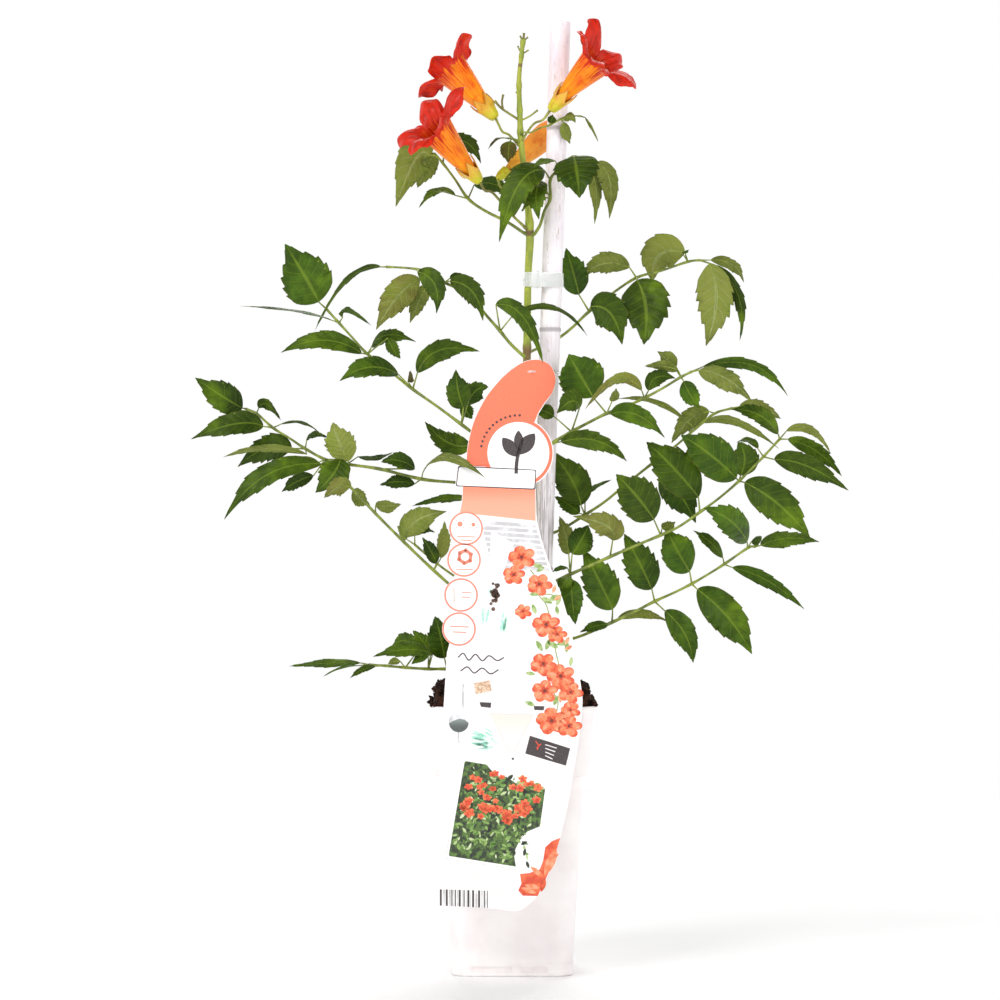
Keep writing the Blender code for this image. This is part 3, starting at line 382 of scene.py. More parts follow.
def add(tree: bpy.types.NodeTree, kind: str, inputs: Any = (), **settings: Any) -> bpy.types.Node:
    """Add a node with its settings and links.

    Args:
        tree: the node tree.
        kind: the node's type, without its ShaderNode.
        inputs: as wire() takes them.
        settings: the node's own properties.

    Returns:
        The node.
    """
    node = tree.nodes.new("ShaderNode" + kind)
    for key, value in settings.items():
        setattr(node, key, value)
    wire(node, inputs)
    return node


class Painter:
    """A material's node tree, begun with its shader and coordinates, and how a finish is laid on."""

    def __init__(self, name: str, **shader: Any) -> None:
        """Start a Principled material and set its own sockets."""
        self.material = bpy.data.materials.new(name)
        self.material.use_nodes = True
        self.shader = self.material.node_tree.nodes["Principled BSDF"]
        for key, value in shader.items():
            self.shader.inputs[key.replace("_", " ").title().replace("Ior", "IOR")].default_value = value
        self.add = partial(add, self.material.node_tree)
        self.place = self.add("TexCoord")
        self.plane = self.add("SeparateXYZ", (self.place.outputs["UV"],))
        self.spot = self.add("SeparateXYZ", (self.place.outputs["Object"],))

    def height(self) -> bpy.types.Node:
        """Height above the ground in millimetres."""
        return self.add("Math", (self.spot.outputs[2], 1 / MM), **TIMES)

    def mottle(self, size: float, detail: float = 3.0, stretch: Place = (1, 1, 1), uv: bool = False) -> Any:
        """Noise with features size millimetres across on Object coordinates, or size wide on the UV map."""
        turned = self.add("Mapping", {0: self.place.outputs["UV" if uv else "Object"], 3: stretch})
        scale = 1.0 / size if uv else 1.0 / (size * MM)
        return self.add("TexNoise", {0: turned, "Scale": scale, "Detail": detail, "Roughness": 0.55})

    def lay(self, under: Any, over: Any, pattern: Any, span: Sequence[float],
            amount: Sequence[float] = ()) -> Any:
        """Lay one colour over another where a pattern lies in a span.

        Args:
            under: the colour below.
            over: the colour laid on.
            pattern: values that decide where.
            span: pattern values between which the share rises, or falls if they fall.
            amount: share laid at each end of the span, 0 and 1 if left out.

        Returns:
            The mixed colour.
        """
        share = self.add("MapRange", (pattern, *span, *amount), **SOFT)
        return self.add("Mix", {0: share, 6: under, 7: over}, **BLEND)

    def finish(self, colour: Any, relief: Any = None, depth: float = 0.0, rough: Any = None,
               strength: float = 1.0) -> Material:
        """Link the material's patterns to its shader.

        Args:
            colour: the base colour.
            relief: height of the surface, 0 to 1, or none.
            depth: millimetres that a relief of 1 stands up.
            rough: the roughness where it varies.
            strength: how strongly the relief shows.

        Returns:
            The material.
        """
        wire(self.shader, {"Base Color": colour})
        if rough is not None:
            wire(self.shader, {"Roughness": rough})
        if relief is not None:
            bump = self.add("Bump", {"Height": relief, "Distance": depth * MM, "Strength": strength})
            wire(self.shader, {"Normal": bump})
        return self.material


class Tone(Enum):
    """Colour of a leaflet's upper face."""

    GREEN = "#425d10"
    DEEP = "#2b420c"
    LIGHT = "#56721c"
    PALE = "#7b8c3c"
    BROWN = "#5e5220"


@dataclass(frozen=True)
class LeafFinish:
    """Waxy living leaf blade: glossy green above, matt and paler below, with sunk veins and quilting."""

    under_code: str = "#868d42"
    vein_code: str = "#7c932c"
    veins: float = 8.0

    def make(self) -> Material:
        """The material; UV x runs along the blade and UV y across it, 0.5 at the midrib."""
        p = Painter("leaf_blade", roughness=0.5, specular_ior_level=0.14)
        off = p.add("Math", (p.plane.outputs[1], 0.5), **MINUS)
        off = p.add("Math", (p.add("Math", (off,), **SIZE), 2.0), **TIMES)
        # side veins leave the midrib and run forward: a wave in (along * veins - across)
        along = p.add("Math", (p.plane.outputs[0], self.veins), **TIMES)
        climb = p.add("Math", (along, p.add("Math", (off, 1.5), **TIMES)), **MINUS)
        wave = p.add("Math", (p.add("Math", (climb,), operation="FRACT"), 0.5), **MINUS)
        wave = p.add("Math", (wave,), **SIZE)
        line = p.add("MapRange", (wave, 0.06, 0.0), **SOFT)
        vein = p.add("Math", (line, p.add("MapRange", (off, 0.95, 0.5), **SOFT)), **TIMES)
        midrib = p.add("MapRange", (off, 0.1, 0.03), **SOFT)
        veins = p.add("Math", (vein, midrib), operation="MAXIMUM")
        tint = p.add("Attribute", attribute_name="tint").outputs["Color"]
        mottle = p.mottle(9.0, 4.0)
        broad = p.mottle(30.0, 2.0)
        fine = p.mottle(1.6, 2.0)
        # painted highlight and painted shade: broad 30 mm patches of lighter yellow-green and darker green
        # stand for the light and shade that fall across the foliage
        tint = p.lay(tint, "#6c8a14", broad, (0.5, 0.68), (0.0, 0.55))
        tint = p.lay(tint, "#1c3204", broad, (0.48, 0.32), (0.0, 0.6))
        body = p.lay(tint, "#1d3004", mottle, (0.35, 0.65), (0.0, 0.5))
        body = p.lay(body, "#5f7f1c", mottle, (0.6, 0.78), (0.0, 0.35))
        share = p.add("Math", (veins, 0.42), **TIMES)
        body = p.add("Mix", {0: share, 6: body, 7: self.vein_code}, **BLEND)
        share = p.add("Math", (p.add("MapRange", (off, 0.9, 1.0), **SOFT), 0.35), **TIMES)
        body = p.add("Mix", {0: share, 6: body, 7: "#7d7a35"}, **BLEND)
        under = p.lay(self.under_code, tint, mottle, (0.3, 0.7), (0.25, 0.6))
        share = p.add("Math", (veins, 0.5), **TIMES)
        under = p.add("Mix", {0: share, 6: under, 7: "#b4bd84"}, **BLEND)
        facing = p.add("Attribute", attribute_name="under").outputs["Fac"]
        colour = p.add("Mix", {0: facing, 6: body, 7: under}, **BLEND)
        rough = p.add("Math", (fine, p.add("Math", (facing, 0.6), **TIMES)), **PLUS)
        rough = p.add("MapRange", (rough, 0.2, 1.3, 0.42, 0.75), **SOFT)
        hills = p.add("Math", (wave, 1.2), **TIMES)
        hills = p.add("Math", (hills, p.add("Math", (veins, 0.5), **TIMES)), **MINUS)
        relief = p.add("Math", (hills, p.add("Math", (fine, 0.25), **TIMES)), **PLUS)
        return p.finish(colour, relief, 0.5, rough, strength=0.8)


@dataclass(frozen=True)
class StalkFinish:
    """Green living stalk: smooth skin, yellow-green, flecked and browned at the joints, low sheen."""

    name: str = "leaf_stalk"
    light: str = "#8d9b34"
    dark: str = "#5d6c22"
    brown: str = "#6b5230"
    brown_bands: Pairs = ()

    def make(self) -> Material:
        """The material; brown_bands are (height, half height) in millimetres."""
        p = Painter(self.name, roughness=0.48)
        mottle = p.mottle(7.0, 3.0, (1, 1, 0.35))
        body = p.lay(self.light, self.dark, mottle, (0.35, 0.65))
        height = p.height()
        for centre, half in self.brown_bands:
            away = p.add("Math", (p.add("Math", (height, centre), **MINUS),), **SIZE)
            near = p.add("MapRange", (away, half, half * 0.35), **SOFT)
            flecks = p.add("MapRange", (mottle, 0.25, 0.5, 0.45, 0.95), **SOFT)
            band = p.add("Math", (near, flecks), **TIMES)
            body = p.add("Mix", {0: band, 6: body, 7: self.brown}, **BLEND)
        colour = p.lay(body, self.brown, p.mottle(1.4, 2.0), (0.62, 0.72), (0.0, 0.45))
        return p.finish(colour, p.mottle(2.2, 3.0, (1, 1, 0.3)), 0.25)


@dataclass(frozen=True)
class PetalFinish:
    """Waxy trumpet petal: yellow foot, orange streaked tube, red lobes with a satin sheen."""

    name: str = "trumpet_petal"
    foot: str = "#dcb022"
    tube: str = "#f58a12"
    lobe: str = "#cf220d"
    throat: str = "#d8480e"

    def make(self) -> Material:
        """The material; UV x is the turn about the axis, UV y runs 0..1 up the tube, 1..2 along a lobe."""
        p = Painter(self.name, roughness=0.42, specular_ior_level=0.22)
        along = p.plane.outputs[1]
        streak = p.mottle(0.02, 2.0, (1, 0.05, 1), True)
        shift = p.add("MapRange", (streak, 0.3, 0.7, -0.3, 0.3), **SOFT)
        shifted = p.add("Math", (along, shift), **PLUS)
        patch = p.mottle(6.0, 3.0)
        body = p.lay(self.foot, self.tube, shifted, (0.12, 0.45))
        body = p.lay(body, self.lobe, shifted, (0.7, 1.15))
        upper = p.add("MapRange", (along, 0.5, 1.0), **SOFT)
        strong = p.add("MapRange", (streak, 0.56, 0.66, 0.0, 0.7), **SOFT)
        share = p.add("Math", (upper, strong), **TIMES)
        body = p.add("Mix", {0: share, 6: body, 7: "#a8220a"}, **BLEND)
        body = p.lay(body, "#dc4a10", patch, (0.48, 0.72), (0.0, 0.5))
        # painted shade: dark red patches towards the lobe tips stand for the shade in the crumpled lobes
        tip = p.add("MapRange", (along, 1.1, 1.9), **SOFT)
        painted_lobe_shade = p.add("MapRange", (patch, 0.5, 0.34, 0.0, 0.7), **SOFT)
        share = p.add("Math", (tip, painted_lobe_shade), **TIMES)
        body = p.add("Mix", {0: share, 6: body, 7: "#7c0e06"}, **BLEND)
        inside = p.lay(self.throat, "#cc240c", shifted, (0.75, 1.1))
        inside = p.lay(inside, "#8e1206", streak, (0.52, 0.68), (0.0, 0.7))
        facing = p.add("Attribute", attribute_name="under").outputs["Fac"]
        colour = p.add("Mix", {0: facing, 6: body, 7: inside}, **BLEND)
        return p.finish(colour, streak, 0.5, strength=0.7)


@dataclass(frozen=True)
class CalyxFinish:
    """Fleshy calyx: yellow-green shading to russet along its teeth, smooth and softly glossy."""

    def make(self) -> Material:
        """The material; UV y runs 0 at the foot to 1 at the teeth."""
        p = Painter("calyx_flesh", roughness=0.4)
        along = p.plane.outputs[1]
        patch = p.mottle(5.0, 3.0)
        blush = p.add("Math", (along, p.add("Math", (patch, 0.5), **TIMES)), **PLUS)
        body = p.lay("#c8c422", "#e0a838", blush, (0.3, 1.2))
        body = p.lay(body, "#b56a22", patch, (0.56, 0.72), (0.0, 0.5))
        colour = p.lay(body, "#8f4a1c", along, (0.9, 1.0), (0.0, 0.4))
        return p.finish(colour, p.mottle(1.6, 3.0), 0.2)


@dataclass(frozen=True)
class CaneFinish:
    """Whitewashed bamboo: a lilac-white wash, speckled and rubbed off in long streaks to grey wood."""

    def make(self) -> Material:
        """The material; streaks run up the cane, so noise is stretched along Z."""
        p = Painter("whitewashed_bamboo", roughness=0.62)
        height = p.height()
        grain = p.mottle(1.1, 4.0, (1, 1, 0.05))
        speck = p.mottle(1.9, 3.0, (1, 1, 0.5))
        patch = p.mottle(14.0, 3.0, (1, 1, 0.35))
        wash = p.lay("#fdf7fc", "#ece2ea", patch, (0.35, 0.68))
        wash = p.lay(wash, "#a99ca8", speck, (0.6, 0.72), (0.0, 0.3))
        low = p.add("MapRange", (height, 430.0, 330.0), **SOFT)
        streaks = p.add("MapRange", (grain, 0.44, 0.6), **SOFT)
        amount = p.add("Math", (p.add("Math", (low, 0.5), **TIMES), 0.1), **PLUS)
        worn = p.add("Math", (streaks, amount), **TIMES)
        wash = p.add("Mix", {0: worn, 6: wash, 7: "#857f80"}, **BLEND)
        stains = p.add("MapRange", (p.mottle(3.0, 4.0, (1, 1, 0.2)), 0.6, 0.72), **SOFT)
        share = p.add("Math", (stains, 0.6), **TIMES)
        wash = p.add("Mix", {0: share, 6: wash, 7: "#b3a489"}, **BLEND)
        for node in CANE_NODES:
            away = p.add("Math", (p.add("Math", (height, node), **MINUS),), **SIZE)
            wash = p.lay(wash, "#6f6268", away, (2.6, 0.6), (0.0, 0.55))
        rough = p.add("MapRange", (grain, 0.3, 0.7, 0.5, 0.75), **SOFT)
        relief = p.add("Math", (grain, p.add("Math", (speck, 0.6), **TIMES)), **PLUS)
        return p.finish(wash, relief, 0.35, rough)


@dataclass(frozen=True)
class PotFinish:
    """Injection-moulded white polypropylene: faintly pink, slightly glossy, with a fine moulded grain."""

    def make(self) -> Material:
        """The material; soft dust marks near the rim and the foot."""
        p = Painter("moulded_white_plastic", roughness=0.38, subsurface_weight=0.05, coat_weight=0.08)
        height = p.height()
        haze = p.mottle(38.0, 3.0)
        body = p.lay("#fdf7f5", "#f6eceb", haze, (0.35, 0.7))
        specks = p.add("MapRange", (p.mottle(5.0, 4.0), 0.55, 0.75), **SOFT)
        rim = p.add("MapRange", (height, 196.0, 201.0, 0.0, 0.35), **SOFT)
        dust = p.add("Math", (specks, rim), **TIMES)
        body = p.add("Mix", {0: dust, 6: body, 7: "#8c7d72"}, **BLEND)
        low = p.add("MapRange", (height, 14.0, 0.0), **SOFT)
        scuffs = p.add("MapRange", (p.mottle(9.0, 4.0), 0.45, 0.75, 0.0, 0.25), **SOFT)
        foot = p.add("Math", (low, scuffs), **TIMES)
        colour = p.add("Mix", {0: foot, 6: body, 7: "#b9aca4"}, **BLEND)
        rough = p.add("MapRange", (p.mottle(0.9, 2.0), 0.2, 0.8, 0.33, 0.45), **SOFT)
        return p.finish(colour, p.mottle(0.8, 2.0), 0.04, rough)


@dataclass(frozen=True)
class SoilFinish:
    """Peat and bark potting soil: near black, damp, with ochre fibres and crumbs."""

    def make(self) -> Material:
        """The material, rough all over."""
        p = Painter("potting_soil", roughness=0.95, specular_ior_level=0.2)
        crumb = p.mottle(3.2, 5.0)
        body = p.lay("#190d07", "#49291a", crumb, (0.35, 0.68))
        body = p.lay(body, "#6b4b30", p.mottle(1.6, 4.0), (0.6, 0.74))
        shade = p.add("Attribute", attribute_name="tint").outputs["Fac"]
        colour = p.add("Mix", {0: shade, 6: "#000000", 7: body}, **BLEND)
        grit = p.add("Math", (p.mottle(1.1, 4.0), 0.5), **TIMES)
        relief = p.add("Math", (crumb, grit), **PLUS)
        return p.finish(colour, relief, 2.2)


@dataclass(frozen=True)
class InkFinish:
    """Offset print on coated card: flat ink with a soft sheen and a faint paper tooth."""

    name: str
    code: str
    second: str = ""
    span: tuple[float, float] = (0.0, 1.0)
    blotch_mm: float = 0.0
    roughness: float = 0.42

    def make(self) -> Material:
        """The material; it shades from code at the first height to second at the other."""
        p = Painter(self.name, roughness=self.roughness, coat_weight=0.12)
        second = self.second or self.code
        if self.blotch_mm:
            share = p.add("MapRange", (p.mottle(self.blotch_mm, 3.0), 0.4, 0.62), **SOFT)
        else:
            height = p.height()
            share = p.add("MapRange", (height, self.span[0], self.span[1]), **SOFT)
        tooth = p.mottle(0.7, 2.0)
        body = p.add("Mix", {0: share, 6: self.code, 7: second}, **BLEND)
        colour = p.lay(body, "#ffffff", tooth, (0.3, 0.8), (0.0, 0.05))
        return p.finish(colour, tooth, 0.03)


@dataclass(frozen=True)
class ClearFinish:
    """Milky translucent polyethylene, as of a plant clip: soft sheen, lets light through."""

    name: str = "milky_plastic"
    code: str = "#fbfcfc"

    def make(self) -> Material:
        """The material."""
        p = Painter(self.name, roughness=0.25, transmission_weight=0.6, ior=1.3)
        colour = p.lay(self.code, "#f1f4f2", p.mottle(5.0, 2.0), (0.3, 0.7))
        return p.finish(colour, p.mottle(3.0, 2.0), 0.1)


@dataclass(frozen=True)
class Leaflet:
    """One leaflet: where it springs from, its blade's base and tip, its width and how it is turned.

    at is the index of its point on the frond's route. roll turns the blade about its own length:
    0 shows the upper face to the viewer, 90 is edge on, 180 shows the under face. via is the
    place that the middle of the midrib passes through.
    """

    at: int
    base: Place
    tip: Place
    width: float
    roll: float = 25.0
    via: Optional[Place] = None
    tone: Tone = Tone.GREEN


@dataclass(frozen=True)
class BladeShape:
    """The form that all leaflets share: outline, teeth, fold and quilting."""

    columns: int = 9
    teeth: int = 5
    first_tooth: float = 0.26
    last_tooth: float = 0.93
    broader: float = 1.19
    tooth_depth: float = 0.13
    fold: float = 16.0
    arch: float = 0.10
    thickness: float = 0.55
    quilt_mm: float = 0.42
    wave_mm: float = 0.9

    def stations(self) -> Array:
        """Shares of the length that are sampled: closer together at each tooth's tip."""
        step = (self.last_tooth - self.first_tooth) / self.teeth
        starts = self.first_tooth + step * np.arange(self.teeth)
        marks = (starts[:, None] + step * np.array([0.04, 0.36, 0.70, 0.95])).ravel()
        return np.concatenate([[0.0, 0.02, 0.05, 0.09, 0.14, 0.2], marks, [0.95, 0.975, 1.0]])

    def outline(self, u: Array) -> Array:
        """Half width as a share of its most: sin(pi u^0.82)^0.8, narrowed to a short drawn-out tip."""
        body = np.sin(np.pi * np.clip(u, 0, 1) ** 0.82).clip(0) ** 0.8
        tip = 1.0 - 0.42 * smooth(0.66, 0.96, u)
        return np.maximum(body * tip * self.broader, 0.012)

    def saw(self, u: Array) -> Array:
        """Rise along each tooth, 0 at a notch to 1 at the next tip."""
        return ((u - self.first_tooth) * self.teeth / (self.last_tooth - self.first_tooth)) % 1.0


@dataclass(frozen=True)
class Frond:
    """A pinnate leaf: its stalk's route and its leaflets."""

    name: str
    route: tuple[Place, ...]
    leaves: tuple[Leaflet, ...]
    thick: float = 1.22

    def blade(self, skin: Skin, leaf: Leaflet, root: Array, shape: BladeShape,
              draw: np.random.Generator) -> None:
        """Add one leaflet: a quadratic curve for its midrib, rings of its toothed, folded blade, a stalk.

        Args:
            skin: the mesh being gathered.
            leaf: the leaflet.
            root: its point on the frond's route.
            shape: the common form.
            draw: random draw, seeded for the frond.
        """
        base, tip = seen(leaf.base), seen(leaf.tip)
        along = unit(tip - base)
        face = np.array([0.0, -1.0, 0.0])
        face = unit(face - along * np.dot(face, along))
        turn = math.radians(leaf.roll)
        up = face * math.cos(turn) + np.cross(along, face) * math.sin(turn)
        middle = (base + tip) / 2
        length = float(np.linalg.norm(tip - base))
        bend = middle + up * shape.arch * 2 * length if leaf.via is None else 2 * seen(leaf.via) - middle

        u = shape.stations()
        w = u[:, None]
        spine = (1 - w) ** 2 * base + 2 * w * (1 - w) * bend + w**2 * tip
        ahead = unit((1 - w) * (bend - base) + w * (tip - bend))
        side = unit(np.cross(ahead, up))
        normal = np.cross(side, ahead)
        # across the blade v runs -1..1, closer together at the margins
        v = np.sin(np.linspace(-np.pi / 2, np.pi / 2, shape.columns))[None, :]
        half = leaf.width / 2 * shape.outline(u)[:, None]
        saw = shape.saw(u)[:, None] * np.ones_like(v)
        reach = smooth(0.2, 0.34, u)[:, None] * (1 - smooth(0.92, 0.97, u))[:, None]
        depth = shape.tooth_depth * (0.7 + 0.9 * w) * reach * draw.uniform(0.45, 1.3)
        cut = 1.0 - depth * (1.0 - saw) * np.abs(v) ** 3
        phase = draw.uniform(0, 2 * np.pi, 3)
        fold = math.radians(shape.fold + draw.uniform(-5, 6))
        size = min(1.0, leaf.width / 18.0)
        out = np.abs(v)
        quilt = np.cos(2 * np.pi * (8 * w - 1.5 * out)) * out * (1.2 - out) * 2 * reach
        wave = np.sin(2 * np.pi * 2.3 * w + phase[0] + 1.4 * np.sign(v)) * out**3 * reach
        rise = half * out**1.25 * math.sin(fold) - half * 0.16 * v**2
        rise = rise + size * (shape.quilt_mm * quilt + shape.wave_mm * wave)
        push = ahead[:, None] * (0.028 * length * (saw - 0.5) * np.abs(v) ** 4 * reach)[..., None]
        sheet = spine[:, None] + side[:, None] * (half * v * cut * math.cos(fold))[..., None]
        sheet = sheet + normal[:, None] * rise[..., None] + push
        thick = shape.thickness / 2 * (1 - np.abs(v) ** 4) * np.ones_like(w) * np.minimum(1.0, half / 1.2)
        top = sheet + normal[:, None] * thick[..., None]
        low = sheet - normal[:, None] * thick[..., None]
        rings = np.concatenate([top, low[:, -2:0:-1]], axis=1)
        across = np.concatenate([v[0], v[0, -2:0:-1]]) * 0.5 + 0.5
        uv = np.stack(np.broadcast_arrays(w, across[None, :]), -1)
        count = rings.shape[1]
        lower = np.zeros((len(u) - 1, count))
        lower[:, shape.columns - 1:] = 1.0
        base_colour = np.array(srgb(leaf.tone.value))
        # painted shade: blades deep in the plant are drawn darker, standing for the shade of the foliage in
        # front of them
        shade = 1.0 - 0.35 * float(smooth(-20.0, 45.0, (base[1] + tip[1]) / 2))
        tint = base_colour * shade * draw.uniform(0.7, 1.3)
        tint = tint * draw.uniform([0.9, 1.0, 0.8], [1.15, 1.0, 1.1])
        skin.loft(rings, uv, tint, lower, 0)
        # stalk and midrib: one thin tube from the rachis to near the tip, showing most on the under face
        rib = spine[:-4:2] - normal[:-4:2] * 0.12
        lead = root + (base - root) * np.linspace(0, 1, 4)[:-1, None]
        path = np.vstack([lead, rib])
        thin = np.concatenate([np.linspace(0.85, 0.62, 3), np.linspace(0.55, 0.14, len(rib))])
        skin.tube(path, thin * (0.7 + 0.3 * size), 6, slot=1)

    def build(self, leaf: Material, stalk: Material, anchor: Array, seed: int) -> Thing:
        """Make the frond: a smooth rachis, swollen where leaflets leave it, and its leaflets.

        Args:
            leaf: finish of the blades.
            stalk: finish of the rachis.
            anchor: point on the main stem that it grows from.
            seed: random seed for small differences among leaflets.

        Returns:
            The finished piece.
        """
        draw = np.random.default_rng(seed)
        skin = Skin(self.name + "_leaf")
        route = seen(np.array(self.route))
        steps = 5
        path = catmull(route, steps)
        share = np.arange(len(path)) / (len(path) - 1)
        radii = self.thick * (1.0 - 0.36 * share)
        for at in {leaf.at for leaf in self.leaves}:
            radii = radii + 0.32 * np.exp(-(((np.arange(len(path)) - at * steps) / 1.6) ** 2))
        lead = anchor + (route[0] - anchor) * np.linspace(0, 1, 4)[:-1, None]
        full = np.vstack([lead, path])
        sizes = np.concatenate([self.thick * np.array([1.75, 1.65, 1.35]), radii])
        skin.tube(full, sizes, 10, slot=1)
        shape = BladeShape()
        for blade in self.leaves:
            self.blade(skin, blade, route[blade.at], shape, draw)
        return dress(skin.build([leaf, stalk]), "leaf_green", self.name)


